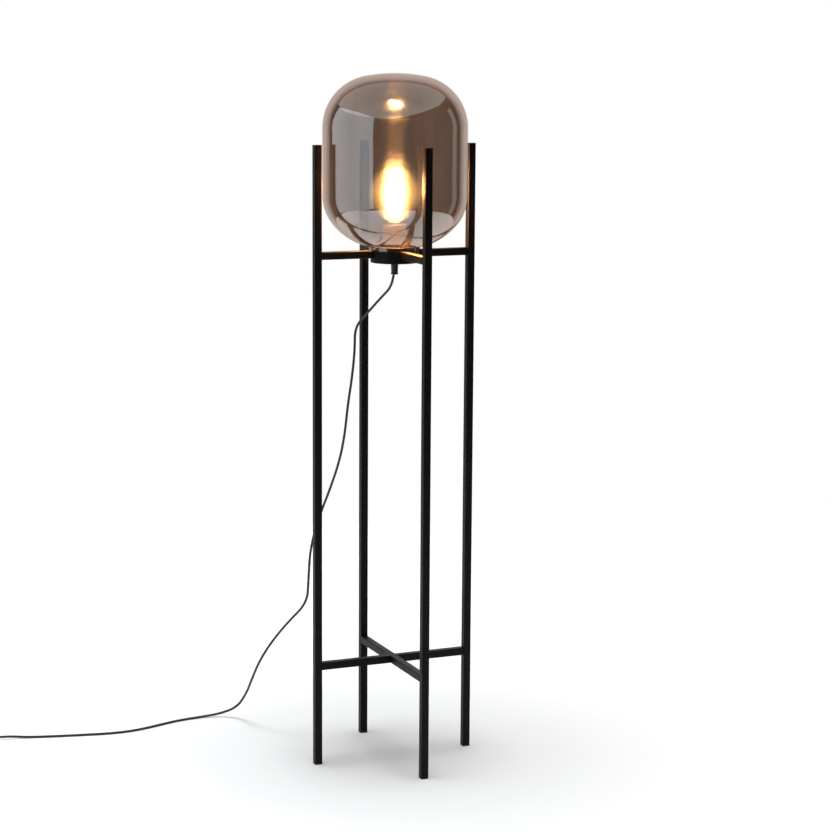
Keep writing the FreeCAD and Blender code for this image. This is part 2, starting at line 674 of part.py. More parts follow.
def make_bulb_glass():
    """A blown globe on a flared neck."""
    touch_x, touch_z, neck_top = globe_touch("0")
    inner_x, inner_z, _ = globe_touch("Sizes.bulb_wall")
    neck_bore = f"{BULB_NECK} - Sizes.bulb_wall"
    inner_radius = "(Sizes.bulb_radius - Sizes.bulb_wall)"
    corners = [
        (neck_bore, "Sizes.bulb_seat"),
        (BULB_NECK, "Sizes.bulb_seat"),
        (BULB_NECK, neck_top, "-Sizes.bulb_flare"),
        (touch_x, touch_z, "Sizes.bulb_radius"),
        ("Sizes.bulb_radius", "Sizes.bulb_centre", "Sizes.bulb_radius"),
        ("0", "Sizes.bulb_centre + Sizes.bulb_radius"),
        ("0", f"Sizes.bulb_centre + {inner_radius}", f"-{inner_radius}"),
        (inner_radius, "Sizes.bulb_centre", f"-{inner_radius}"),
        (inner_x, inner_z, "Sizes.bulb_flare + Sizes.bulb_wall"),
        (neck_bore, neck_top),
    ]
    finish(place(turned("bulb_glass", corners), z=BULB_BASE), "bulb_glass")


def make_bulb_cap():
    """The screw cap with its glass insulator and its solder tip."""
    inner_foot = "Sizes.cap_shoulder + Sizes.thread_clearance"
    inner = f"{CAP_RADIUS} - Sizes.cap_wall"
    slope = f"({CAP_RADIUS} - Sizes.cap_shoulder)"
    shell = [
        (inner_foot, "Sizes.cap_foot"),
        (f"{inner_foot} + Sizes.cap_wall", "Sizes.cap_foot"),
        (CAP_RADIUS, f"Sizes.cap_foot + {slope}"),
        (CAP_RADIUS, "Sizes.cap_height"),
        (inner, "Sizes.cap_height"),
        (inner, f"Sizes.cap_foot + {slope}"),
    ]
    finish(place(turned("bulb_cap", shell), z=BULB_BASE), "bulb_cap")
    insulator = [
        ("0", "Sizes.tip_height"),
        ("Sizes.tip_radius", "Sizes.tip_height"),
        ("Sizes.cap_shoulder", "Sizes.cap_foot"),
        ("Sizes.cap_shoulder", "Sizes.cap_foot + Sizes.tip_height"),
        ("0", "Sizes.cap_foot + Sizes.tip_height"),
    ]
    finish(place(turned("cap_insulator", insulator), z=BULB_BASE), "cap_insulator")
    finish(cylinder("Sizes.tip_radius", "Sizes.tip_height", z=BULB_BASE), "cap_tip")


def make_bulb_inside():
    """The glass stem, the rings that it carries, and the filaments between them."""
    foot, head = "Sizes.bulb_seat", "(Sizes.bulb_seat + Sizes.stem_height)"
    corners = [
        ("0", foot),
        (STEM_FOOT, foot),
        ("Sizes.stem_radius", f"{foot} + Sizes.stem_flare"),
        ("Sizes.stem_radius", head),
        ("0", head),
    ]
    finish(place(turned("bulb_stem", corners), z=BULB_BASE), "bulb_stem")
    thick = "Sizes.ring_thickness"
    top = f"({head} + {thick} + Sizes.filament_length)"
    rings = [
        ("0", head),
        ("Sizes.filament_ring", head),
        ("Sizes.filament_ring", f"{head} + {thick}"),
        (thick, f"{head} + {thick}"),
        (thick, top),
        ("Sizes.filament_ring", top),
        ("Sizes.filament_ring", f"{top} + {thick}"),
        ("0", f"{top} + {thick}"),
    ]
    finish(place(turned("filament_rings", rings), z=BULB_BASE), "filament_rings")
    rods = []
    for number in range(FILAMENTS):
        turn = 360 * number / FILAMENTS
        x = f"Sizes.filament_circle * cos({turn} deg)"
        y = f"Sizes.filament_circle * sin({turn} deg)"
        level = f"{BULB_BASE} + {head} + {thick}"
        rods.append(cylinder("Sizes.filament_radius", "Sizes.filament_length", x, y, level))
    finish(group(*rods), "filaments")


# Glass shade, drawn from its lower rim


def shade_side(inset):
    """Corners of the shade's curve from the rim to the crown, moved inwards by inset."""
    wall = f"(Sizes.shade_radius - {inset})"
    belly_x = "(Sizes.shade_radius - Sizes.belly_radius)"
    belly = f"(Sizes.belly_radius - {inset})"
    angle = "(Sizes.belly_angle * 1 deg)"
    growth = "(Sizes.base_radius - Sizes.belly_radius)"
    base_x = f"({belly_x} - {growth} * cos({angle}))"
    base_z = f"(Sizes.belly_level + {growth} * sin({angle}))"
    base = f"(Sizes.base_radius - {inset})"
    neck = f"({SHADE_NECK} - {inset})"
    shoulder_x = "(Sizes.shade_radius - Sizes.shoulder_radius)"
    crown_z = "(Sizes.shade_height - Sizes.crown_radius)"
    span = "(Sizes.crown_radius - Sizes.shoulder_radius)"
    rise = f"sqrt({span} ^ 2 - {shoulder_x} ^ 2)"
    crown = f"(Sizes.crown_radius - {inset})"
    return [
        (neck, "0"),
        (neck, f"{base_z} - sqrt({base} ^ 2 - ({neck} - {base_x}) ^ 2)", base),
        (f"{belly_x} + {belly} * cos({angle})", f"Sizes.belly_level - {belly} * sin({angle})", belly),
        (wall, "Sizes.belly_level"),
        (wall, f"{crown_z} + {rise}", f"(Sizes.shoulder_radius - {inset})"),
        (f"{crown} * {shoulder_x} / {span}", f"{crown_z} + {crown} * {rise} / {span}", crown),
        ("0", f"Sizes.shade_height - {inset}"),
    ]


def make_shade():
    """A blown shade, closed above, whose neck stands round the hub on the four arms."""
    outside = shade_side("0")
    inside = shade_side("Sizes.shade_wall")
    backwards = []
    for index in range(len(inside) - 1, -1, -1):
        corner = inside[index][:2]
        bend = inside[index - 1][2:] if index else ()
        backwards.append(corner + tuple(f"-{b}" for b in bend))
    finish(place(turned("glass_shade", outside + backwards), z=ARM_TOP), "glass_shade")


# Cord. Its route is straight runs joined by tangent arcs; each arc starts and ends ARC_SHARE of the
# shorter run from its corner.


def arc_edge(start, corner, end):
    """The arc that leaves start towards corner and reaches end from it."""
    before = (corner - start).normalize()
    after = (end - corner).normalize()
    half_turn = before.getAngle(after) / 2
    if half_turn < NEGLIGIBLE:
        return Part.LineSegment(start, end).toShape()
    tangent = (corner - start).Length
    depth = tangent / math.sin(half_turn) - tangent / math.tan(half_turn)
    inwards = (after - before).normalize()
    middle = corner + inwards * depth
    return Part.Arc(start, middle, end).toShape()


def rounded_route(points):
    """The wire along a route, and the radius of each of its arcs."""
    runs = [(b - a).Length for a, b in zip(points, points[1:])]
    edges = []
    radii = []
    here = points[0]
    for index in range(1, len(points) - 1):
        corner = points[index]
        before = (corner - points[index - 1]).normalize()
        after = (points[index + 1] - corner).normalize()
        tangent = ARC_SHARE * min(runs[index - 1], runs[index])
        start, end = corner - before * tangent, corner + after * tangent
        edges.append(Part.LineSegment(here, start).toShape())
        edges.append(arc_edge(start, corner, end))
        radii.append(tangent / math.tan(before.getAngle(after) / 2))
        here = end
    edges.append(Part.LineSegment(here, points[-1]).toShape())
    return Part.Wire(edges), radii


def sweep(label, path, radius):
    """A round tube along a wire, its volume compared with section times length."""
    first = path.Edges[0]
    begin = first.FirstParameter
    ring = Part.makeCircle(radius, first.valueAt(begin), first.tangentAt(begin))
    solid = path.makePipeShell([Part.Wire(ring)], True, False)
    expected = math.pi * radius**2 * path.Length
    print(f"{label}: length {path.Length:.1f} mm, volume share {solid.Volume / expected:.5f}")
    if abs(solid.Volume / expected - 1) > VOLUME_TOLERANCE:
        raise ValueError(f"{label}: the tube's volume doesn't match its length")
    return solid


def make_tube(label, points, radius):
    """A free stretch of cord or core along a route."""
    path, radii = rounded_route(points)
    print(f"{label}: arc radii", " ".join(f"{r:.0f}" for r in radii))
    tube = doc.addObject("Part::Feature", label)
    tube.Shape = sweep(label, path, radius)
    return tube


def biarc(start, leaving, end, arriving):
    """Two tangent arcs from start to end with the given directions."""
    chord = end - start
    both = leaving + arriving
    a = both.dot(both) - 4
    b = -2 * chord.dot(both)
    c = chord.dot(chord)
    reach = -c / b if abs(a) < NEGLIGIBLE else (-b - math.sqrt(b * b - 4 * a * c)) / (2 * a)
    first, second = start + leaving * reach, end - arriving * reach
    middle = (first + second) / 2
    return [arc_edge(start, first, middle), arc_edge(middle, second, end)]


def least_gap(path, radius, apart):
    """The least gap between stretches of a wound tube that lie apart along it."""
    spots = []
    walked = 0
    for edge in path.Edges:
        steps = math.ceil(edge.Length / GAP_SAMPLE)
        for number, point in enumerate(edge.discretize(steps + 1)[:-1]):
            spots.append((walked + edge.Length * number / steps, point))
        walked += edge.Length
    return min(
        (q - p).Length - 2 * radius
        for index, (at, p) in enumerate(spots)
        for further, q in spots[index + 1 :]
        if further - at > apart
    )


def wound_path(spot, first_turn, last_turn, leaving, arriving, straight):
    """A path of quarter-turn biarcs along a formula, with straight ends."""
    quarters = round(4 * (last_turn - first_turn))
    turns = [first_turn + (last_turn - first_turn) * n / quarters for n in range(quarters + 1)]
    ways = [(spot(t + NEGLIGIBLE) - spot(t - NEGLIGIBLE)).normalize() for t in turns]
    ways[0], ways[-1] = leaving, arriving
    start, end = spot(turns[0]), spot(turns[-1])
    edges = []
    if straight:
        edges.append(Part.LineSegment(start - leaving * straight, start).toShape())
    for n in range(quarters):
        edges += biarc(spot(turns[n]), ways[n], spot(turns[n + 1]), ways[n + 1])
    if straight:
        edges.append(Part.LineSegment(end, end + arriving * straight).toShape())
    return Part.Wire(edges)


cord_radius = value("Sizes.cord_radius")
inlet_z = value("Sizes.inlet_level")
switch_x = value("Sizes.switch_x")
switch_y = value("Sizes.switch_y")
seat_reach = value(SEAT_REACH)
tail_length = value("Sizes.tail_length")
coil_radius = value("Sizes.coil_radius")
coil_pitch = value("Sizes.coil_pitch")
coil_layer = value("Sizes.coil_layer")
coil_level = value(TIE_REACH)
layer_turns = value("Sizes.coil_layer_turns")
coil_straight = 2 * cord_radius
coil_x = value(COIL_X)
coil_y = value(COIL_Y)

# From the grip the cord hangs beside the back leg, passes behind the left leg, meets the floor
# outside it and runs away to the left.
LAMP_ROUTE = (
    (0, 0, 962),
    (-17, 36, 928),
    (-34, 65, 895),
    (-49, 88, 867),
    (-49, 88, 820),
    (-53, 93, 764),
    (-59, 101, 707),
    (-63, 106, 650),
    (-70, 116, 594),
    (-84, 136, 530),
    (-101, 158, 466),
    (-113, 173, 402),
    (-116, 176, 338),
    (-118, 178, 286),
    (-147, 213, 240),
    (-173, 244, 192),
    (-193, 267, 145),
    (-202, 290, 100),
    (-203, 322, 62),
    (-214, 352, 24),
    (-245, 377, 6),
    (-292, 381, 2.5),
    (-342, 374, 2.5),
    (-393, 356, 2.5),
    (-441, 341, 2.5),
    (-492, 339, 2.5),
    (-546, 350, 2.5),
    (-604, 363, 2.5),
    (-660, 378, 2.5),
)


def make_lamp_cord():
    """The cord from the hub to the switch."""
    start = vector("0", "0", f"{HUB_BASE} + Sizes.cover_thickness")
    end = FreeCAD.Vector(switch_x + seat_reach, switch_y, inlet_z)
    rise = end + vector("Sizes.inlet_run", "0", "0")
    route = [start] + [FreeCAD.Vector(*p) for p in LAMP_ROUTE] + [rise, end]
    finish(make_tube("cord_lamp", route, cord_radius), "cord_lamp")


def level_change(first_x, last_x, y, first_z, last_z):
    """A short route along X that leaves and arrives level at two heights."""
    third = (last_x - first_x) * LEVEL_SHARE
    return [
        FreeCAD.Vector(first_x, y, first_z),
        FreeCAD.Vector(first_x + third, y, first_z),
        FreeCAD.Vector(last_x - third, y, last_z),
        FreeCAD.Vector(last_x, y, last_z),
    ]


def make_tail():
    """The cord from the switch to the coil."""
    seat = switch_x - seat_reach
    route = level_change(seat, seat - tail_length, switch_y, inlet_z, coil_level)
    finish(make_tube("cord_tail", route, cord_radius), "cord_tail")


def coil_spot(turn):
    """A point of the coil's centre line: in along the lower layer, out along the upper one."""
    reversal = turn - layer_turns
    inner = coil_radius - coil_pitch * layer_turns
    if reversal <= 0:
        radius, climb = coil_radius - coil_pitch * turn, 0
    elif reversal < REVERSAL_TURNS:
        share = reversal / REVERSAL_TURNS
        radius = inner - coil_pitch * reversal * (1 - share)
        climb = share**2 * (3 - 2 * share)
    else:
        radius, climb = inner + coil_pitch * (reversal - REVERSAL_TURNS), 1
    angle = -math.pi / 2 - 2 * math.pi * turn
    return FreeCAD.Vector(
        coil_x + radius * math.cos(angle),
        coil_y + radius * math.sin(angle),
        coil_level + coil_layer * climb,
    )


def make_coil():
    """The spare cord, wound in two layers."""
    leftwards, rightwards = FreeCAD.Vector(-1, 0, 0), FreeCAD.Vector(1, 0, 0)
    turns = 2 * layer_turns + REVERSAL_TURNS
    path = wound_path(coil_spot, 0, turns, leftwards, rightwards, coil_straight)
    gap = least_gap(path, cord_radius, 4 * math.pi * cord_radius)
    print(f"cord_coil: {turns} turns, least gap to itself {gap:.2f} mm")
    coil = doc.addObject("Part::Feature", "cord_coil")
    coil.Shape = sweep("cord_coil", path, cord_radius)
    finish(coil, "cord_coil")


def make_coil_ties():
    """Two flat bands round the coil's bundle, on its right and on its left.

    A band spans the turns that pass there, counted in pitches in from the outermost radius. On the
    left the reversal is the innermost of them, an eighth of a pitch further in than two turns.
    """
    height = f"(Sizes.coil_layer + 2 * {TIE_REACH})"
    bands = []
    for side, outer, inner in ((1, "3 / 4", "(1 + 3 / 4)"), (-1, "1 / 4", "(2 + 1 / 8)")):
        far = f"(Sizes.coil_radius - {outer} * Sizes.coil_pitch + {TIE_REACH})"
        near = f"(Sizes.coil_radius - {inner} * Sizes.coil_pitch - {TIE_REACH})"
        centre = f"{COIL_X} + {side} * ({far} + {near}) / 2"
        width = f"({far} - {near})"
        band = block(width, "Sizes.tie_width", height, centre, COIL_Y)
        inside = block(
            f"{width} - 2 * Sizes.tie_thickness",
            "Sizes.tie_width",
            f"{height} - 2 * Sizes.tie_thickness",
            centre,
            COIL_Y,
            "Sizes.tie_thickness",
        )
        bands.append(cut(band, inside))
    finish(group(*bands), "coil_ties")


def make_plug_run():
    """The cord from the coil to the plug."""
    start_x = coil_x + coil_straight
    y = coil_y + coil_radius
    route = level_change(start_x, start_x + tail_length, y, coil_level + coil_layer, value(PLUG_LEVEL))
    finish(make_tube("cord_plug_run", route, cord_radius), "cord_plug_run")


def make_supply_cores():
    """The two cores from the cord's end, through the nipple, to the terminals."""
    side = "Sizes.terminal_offset - Sizes.terminal_size / 2"
    level = f"{HUB_TOP} + Sizes.recess_depth - Sizes.terminal_size / 2"
    route = [
        vector("Sizes.core_offset", "0", f"{HUB_BASE} + Sizes.cover_thickness"),
        vector("Sizes.core_offset", "0", level),
        vector(side, "0", level),
    ]
    core = make_tube("supply_core", route, value("Sizes.core_radius"))
    finish(group(core, mirrored(core)), "supply_cores")


# Foot switch, drawn round its own centre and then put on the floor


def on_switch(thing):
    """Move a piece from the switch's own centre to its place."""
    return place(thing, "Sizes.switch_x", "Sizes.switch_y")


def slab(name, inset, height, level):
    """A rounded slab of the housing's plan, moved inwards by inset."""
    body = doc.addObject("PartDesign::Body", name)
    plan = rounded(
        f"(Sizes.switch_length - 2 * {inset})",
        f"(Sizes.switch_width - 2 * {inset})",
        f"(Sizes.switch_corner - {inset})",
    )
    pad(body, new_sketch(body, "XY_Plane", plan, lift=level), height)
    return body


def boot(start):
    """A tapered boot with its bores, drawn from its tip; start is the depth of the cores' bore."""
    corners = [
        ("Sizes.cord_radius + Sizes.cord_clearance", "0"),
        ("Sizes.boot_tip", "0"),
        ("Sizes.boot_root", "Sizes.boot_length"),
        ("Sizes.core_bore", "Sizes.boot_length"),
        ("Sizes.core_bore", "Sizes.cord_seat"),
        ("Sizes.cord_radius + Sizes.cord_clearance", "Sizes.cord_seat"),
    ]
    return turned(start, corners)


def switch_screw_places():
    """Where the two screws stand."""
    return [(f"{side} * Sizes.switch_screw_x", "-Sizes.switch_screw_y") for side in (-1, 1)]


def make_switch_base():
    """The lower shell with a boot at each end."""
    shell = slab("switch_base_shell", "0", "Sizes.switch_base_height", "0")
    depth = "Sizes.switch_base_height - Sizes.switch_floor"
    hollow = slab("switch_base_hollow", "Sizes.switch_wall", depth, "Sizes.switch_floor")
    holes = [hollow]
    boots = []
    for side in (-1, 1):
        turn = FreeCAD.Rotation(UP, FreeCAD.Vector(-side, 0, 0))
        wall = f"{side} * Sizes.switch_length / 2"
        holes.append(
            cylinder("Sizes.core_bore", "2 * Sizes.switch_wall", wall, "0", "Sizes.inlet_level", turn)
        )
        tip = f"{side} * (Sizes.switch_length / 2 + Sizes.boot_length)"
        boots.append(place(boot(f"switch_boot_{side}"), tip, "0", "Sizes.inlet_level", turn))
    for x, y in switch_screw_places():
        hole = turned(
            "switch_screw_hole",
            [
                ("0", "0"),
                ("Sizes.switch_screw_head + Sizes.hole_clearance", "0"),
                ("Sizes.switch_screw_head + Sizes.hole_clearance", "Sizes.switch_screw_sink"),
                ("Sizes.switch_screw_radius + Sizes.hole_clearance", "Sizes.switch_screw_sink"),
                ("Sizes.switch_screw_radius + Sizes.hole_clearance", "Sizes.switch_floor"),
                ("0", "Sizes.switch_floor"),
            ],
        )
        holes.append(place(hole, x, y))
    finish(on_switch(fuse(cut(shell, *holes), *boots)), "switch_base")


def make_switch_cover():
    """The upper shell with the button's hole and two bosses for the screws."""
    shell = slab("switch_cover_shell", "0", "Sizes.switch_cover_height", "Sizes.switch_base_height")
    crown = add_crown(shell, "Sizes.switch_crown")
    depth = "Sizes.switch_cover_height - Sizes.switch_wall"
    hollow = slab("switch_cover_hollow", "Sizes.switch_wall", depth, "Sizes.switch_base_height")
    hole = cylinder(
        "Sizes.button_radius + Sizes.button_gap", "2 * Sizes.switch_wall", z=SWITCH_CEILING
    )
    height = f"{SWITCH_CEILING} - Sizes.switch_floor"
    pilot = "Sizes.switch_screw_radius + Sizes.thread_clearance"
    reach = "Sizes.switch_screw_length"
    bosses = []
    pilots = []
    for x, y in switch_screw_places():
        bosses.append(cylinder("Sizes.boss_radius", height, x, y, "Sizes.switch_floor"))
        pilots.append(cylinder(pilot, reach, x, y, "Sizes.switch_floor"))
    finish(on_switch(cut(fuse(cut(crown, hollow, hole), *bosses), *pilots)), "switch_cover")


def add_crown(body, radius):
    """Round the upper edge of a body's pad."""
    doc.recompute()
    padding = body.Tip
    top = max(padding.Shape.Faces, key=lambda face: face.CenterOfMass.z)
    name = next(f"Face{n}" for n, face in enumerate(padding.Shape.Faces, 1) if face.isSame(top))
    rounding = body.newObject("PartDesign::Fillet", f"{body.Name}_crown")
    rounding.Base = (padding, [name])
    rounding.setExpression("Radius", radius)
    return body


def make_switch_button():
    """The push button with its flange and guide pin, and the contact ring under the flange."""
    top = f"({SWITCH_CEILING} + Sizes.switch_wall + Sizes.button_rise)"
    under = f"({SWITCH_CEILING} - Sizes.flange_thickness)"
    corners = [
        ("0", f"{under} - Sizes.guide_length"),
        ("Sizes.guide_radius", f"{under} - Sizes.guide_length"),
        ("Sizes.guide_radius", under),
        ("Sizes.flange_radius", under),
        ("Sizes.flange_radius", SWITCH_CEILING),
        ("Sizes.button_radius", SWITCH_CEILING),
        ("Sizes.button_radius", f"{top} - Sizes.switch_crown", "Sizes.switch_crown"),
        ("Sizes.button_radius - Sizes.switch_crown", top),
        ("0", top),
    ]
    finish(on_switch(turned("switch_button", corners)), "switch_button")
    level = f"{under} - Sizes.bridge_thickness"
    ring = cylinder("Sizes.flange_radius", "Sizes.bridge_thickness", z=level)
    bore = cylinder("Sizes.bridge_bore", "Sizes.bridge_thickness", z=level)
    finish(on_switch(cut(ring, bore)), "switch_ring")


def make_switch_inside():
    """The contact block, the fixed contacts, the spring, the cores and the screws."""
    solid = block(
        "Sizes.block_length", "Sizes.block_width", "Sizes.block_height", "0", "0", "Sizes.switch_floor"
    )
    pit = cylinder("Sizes.block_bore", "Sizes.block_height", z=SPRING_SEAT)
    finish(on_switch(cut(solid, pit)), "switch_block")

    top = f"({SWITCH_CEILING} - Sizes.flange_thickness - Sizes.bridge_thickness)"
    block_top = "(Sizes.switch_floor + Sizes.block_height)"
    height = f"{top} - Sizes.button_travel - Sizes.contact_gap - {block_top}"
    contact = cylinder("Sizes.contact_pin", height, "Sizes.contact_offset", z=block_top)
    finish(on_switch(group(contact, mirrored(contact))), "switch_contacts")

    screw = [
        ("0", "0"),
        ("Sizes.switch_screw_head", "0"),
        ("Sizes.switch_screw_head", "Sizes.switch_screw_sink"),
        ("Sizes.switch_screw_radius", "Sizes.switch_screw_sink"),
        ("Sizes.switch_screw_radius", "Sizes.switch_screw_length"),
        ("0", "Sizes.switch_screw_length"),
    ]
    screws = [place(turned("switch_screw", screw), x, y) for x, y in switch_screw_places()]
    finish(on_switch(group(*screws)), "switch_screws")


def make_switch_cores():
    """The core that passes the block, and the two that end in it."""
    end = value(SEAT_REACH)
    side = value("Sizes.core_offset")
    block_end = value("Sizes.block_length / 2")
    beside = value("Sizes.block_width / 2 + Sizes.core_aside")
    turn_in = value("Sizes.switch_length / 2 - Sizes.core_turn")
    route = [
        FreeCAD.Vector(end, side, inlet_z),
        FreeCAD.Vector(turn_in, side, inlet_z),
        FreeCAD.Vector(block_end + side, beside, inlet_z),
        FreeCAD.Vector(-block_end - side, beside, inlet_z),
        FreeCAD.Vector(-turn_in, side, inlet_z),
        FreeCAD.Vector(-end, side, inlet_z),
    ]
    passing = make_tube("switch_core", route, value("Sizes.core_radius"))
    rightwards = FreeCAD.Rotation(UP, FreeCAD.Vector(1, 0, 0))
    ending = cylinder(
        "Sizes.core_radius",
        f"{SEAT_REACH} - Sizes.block_length / 2",
        "Sizes.block_length / 2",
        "-Sizes.core_offset",
        "Sizes.inlet_level",
        rightwards,
    )
    finish(on_switch(group(passing, ending, mirrored(ending))), "switch_cores")


def make_switch_spring():
    """The coil spring between the block's pit and the button's flange."""
    wire = value("Sizes.spring_wire")
    radius = value("Sizes.spring_radius")
    bottom = value(SPRING_SEAT) + wire
    top = value(f"{SWITCH_CEILING} - Sizes.flange_thickness") - wire
    turns = value("Sizes.spring_turns")

    def spot(turn):
        angle = 2 * math.pi * turn
        height = bottom + (top - bottom) * turn / turns
        return FreeCAD.Vector(radius * math.cos(angle), radius * math.sin(angle), height)

    slope = FreeCAD.Vector(0, 2 * math.pi * radius * turns, top - bottom).normalize()
    path = wound_path(spot, 0, turns, slope, slope, 0)
    spring = doc.addObject("Part::Feature", "switch_spring")
    spring.Shape = sweep("switch_spring", path, wire)
    finish(on_switch(spring), "switch_spring")


# Plug, lying on its flat side; it is drawn with its pins towards +X


def make_plug():
    """The moulded body with its boot, the two pins and their sleeves."""
    body = doc.addObject("PartDesign::Body", "plug_shell")
    half, waist = "Sizes.plug_width / 2", "Sizes.plug_waist / 2"
    plan = [
        ("0", f"-{half}"),
        ("0", half),
        ("-Sizes.plug_face", half),
        ("-Sizes.plug_length", waist),
        ("-Sizes.plug_length", f"-{waist}"),
        ("-Sizes.plug_face", f"-{half}"),
    ]
    flat = new_sketch(body, "XY_Plane", plan, lift=f"-{PLUG_LEVEL}")
    pad(body, flat, "Sizes.plug_thickness")
    add_crown(body, "Sizes.plug_edge")
    rightwards = FreeCAD.Rotation(UP, FreeCAD.Vector(1, 0, 0))
    sleeve_end = boot("plug_boot")
    place(sleeve_end, "-Sizes.plug_length - Sizes.boot_length", "0", "0", rightwards)
    shell = fuse(body, sleeve_end)
    roots = []
    pins = []
    sleeves = []
    core = "Sizes.pin_core + Sizes.weld_gap"
    pin = [
        ("0", "-Sizes.pin_root"),
        ("Sizes.pin_core", "-Sizes.pin_root"),
        ("Sizes.pin_core", "Sizes.pin_length - Sizes.pin_bare"),
        ("Sizes.pin_radius", "Sizes.pin_length - Sizes.pin_bare"),
        ("Sizes.pin_radius", "Sizes.pin_length - Sizes.pin_nose", "Sizes.pin_nose"),
        ("Sizes.pin_radius - Sizes.pin_nose", "Sizes.pin_length"),
        ("0", "Sizes.pin_length"),
    ]
    for side in (-1, 1):
        y = f"{side} * Sizes.pin_spacing / 2"
        roots.append(cylinder(core, "Sizes.pin_root", "-Sizes.pin_root", y, "0", rightwards))
        pins.append(place(turned("plug_pin", pin), "0", y, "0", rightwards))
        length = "Sizes.pin_length - Sizes.pin_bare"
        tube = cylinder("Sizes.sleeve_radius", length, "0", y, "0", rightwards)
        bore = cylinder(core, length, "0", y, "0", rightwards)
        sleeves.append(cut(tube, bore))
    plug = {"plug_body": cut(shell, *roots), "plug_pins": group(*pins), "plug_sleeves": group(*sleeves)}
    for label, piece in plug.items():
        finish(place(piece, PLUG_X, PLUG_Y, PLUG_LEVEL), label)


for name, (toward_x, toward_y) in SIDES.items():
    make_leg(name, toward_x, toward_y)
    make_upper_arm(name, toward_x, toward_y)
make_lower_cross()
make_hub()
make_hub_cover()
make_grip()
make_nut("grip_nut", f"{HUB_BASE} + Sizes.cover_thickness")
make_nipple()
make_holder()
make_holder_metal()
make_supply_cores()
make_bulb_glass()
make_bulb_cap()
make_bulb_inside()
make_shade()
make_lamp_cord()
make_tail()
make_coil()
make_coil_ties()
make_plug_run()
make_switch_base()
make_switch_cover()
make_switch_button()
make_switch_inside()
make_switch_cores()
make_switch_spring()
make_plug()
doc.recompute()

for item in doc.Objects:
    if {"Invalid", "Error"} & set(item.State):
        raise ValueError(f"{item.Label}: {item.State}")
for piece in pieces:
    if piece.Shape.isNull() or not piece.Shape.isValid():
        raise ValueError(f"{piece.Label}: shape is null or not valid")
    piece.Shape.exportStep(f"parts/{piece.Label}.step")
    print(f"{piece.Label}: {len(piece.Shape.Solids)} solids, {piece.Shape.Volume:.1f} cubic mm")
print(f"{len(pieces)} pieces")
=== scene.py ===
import json
import math

import bmesh
import bpy
from mathutils import Matrix, Vector


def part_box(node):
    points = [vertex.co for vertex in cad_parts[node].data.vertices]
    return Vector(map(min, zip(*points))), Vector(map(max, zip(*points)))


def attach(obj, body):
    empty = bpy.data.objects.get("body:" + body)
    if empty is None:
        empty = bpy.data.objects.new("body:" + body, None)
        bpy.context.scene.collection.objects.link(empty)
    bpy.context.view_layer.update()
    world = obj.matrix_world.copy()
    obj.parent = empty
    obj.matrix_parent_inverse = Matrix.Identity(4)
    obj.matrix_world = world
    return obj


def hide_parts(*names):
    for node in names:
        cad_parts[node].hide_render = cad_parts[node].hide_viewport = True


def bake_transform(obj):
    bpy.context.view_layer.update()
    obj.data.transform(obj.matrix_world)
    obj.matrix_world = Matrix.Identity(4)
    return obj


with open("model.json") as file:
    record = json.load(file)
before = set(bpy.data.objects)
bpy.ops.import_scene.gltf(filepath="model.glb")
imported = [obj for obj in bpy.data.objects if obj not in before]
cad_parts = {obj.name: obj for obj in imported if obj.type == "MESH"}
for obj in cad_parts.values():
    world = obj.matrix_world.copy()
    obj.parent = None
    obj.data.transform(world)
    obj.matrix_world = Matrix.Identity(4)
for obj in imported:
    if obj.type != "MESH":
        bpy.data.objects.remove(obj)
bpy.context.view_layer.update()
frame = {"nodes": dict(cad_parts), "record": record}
nodes = frame["nodes"]

MM = 0.001
ORIGIN = Vector((0, 0, 0))
UP = Vector((0, 0, 1))
WHITE = (1.0, 1.0, 1.0)

# Camera: where the photographer stood, from the legs, the crosses and the shade

CAMERA_PLACE = Vector((-1.70139, -4.1137, 1.44731))
CAMERA_TURN = math.radians(-23.035)
CAMERA_PITCH = math.radians(9.55)
CAMERA_ROLL = math.radians(0.37)
CAMERA_LENS = 98.4
CAMERA_REACH = 100
SENSOR = 36.0


def make_camera():
    """The camera, looking a little down at the lamp and rolled by a fraction of a degree."""
    data = bpy.data.cameras.new("camera")
    data.lens = CAMERA_LENS
    data.sensor_width = SENSOR
    data.sensor_fit = "HORIZONTAL"
    data.clip_end = CAMERA_REACH
    camera = bpy.data.objects.new("camera", data)
    bpy.context.scene.collection.objects.link(camera)
    across = Vector((math.cos(CAMERA_TURN), math.sin(CAMERA_TURN), 0))
    level = Vector((-math.sin(CAMERA_TURN), math.cos(CAMERA_TURN), 0))
    ahead = level * math.cos(CAMERA_PITCH) - UP * math.sin(CAMERA_PITCH)
    over = UP * math.cos(CAMERA_PITCH) + level * math.sin(CAMERA_PITCH)
    right = across * math.cos(CAMERA_ROLL) + over * math.sin(CAMERA_ROLL)
    top = over * math.cos(CAMERA_ROLL) - across * math.sin(CAMERA_ROLL)
    axes = Matrix((right, top, -ahead)).transposed()
    camera.matrix_world = Matrix.Translation(CAMERA_PLACE) @ axes.to_4x4()
    bpy.context.scene.camera = camera


# Shader nodes

GRAIN_RANGE = (0.3, 0.7)


def new_material(name):
    """A material with its Principled shader and its node tree."""
    material = bpy.data.materials.new(name)
    material.use_nodes = True
    tree = material.node_tree
    return material, tree, tree.nodes["Principled BSDF"]


def link(tree, source, target):
    """Join an output to an input."""
    tree.links.new(source, target)


def light_paths(tree):
    """What kind of ray asks for the colour."""
    return tree.nodes.new("ShaderNodeLightPath").outputs


def own_place(tree):
    """The place on the object, in its own space."""
    return tree.nodes.new("ShaderNodeTexCoord").outputs["Object"]


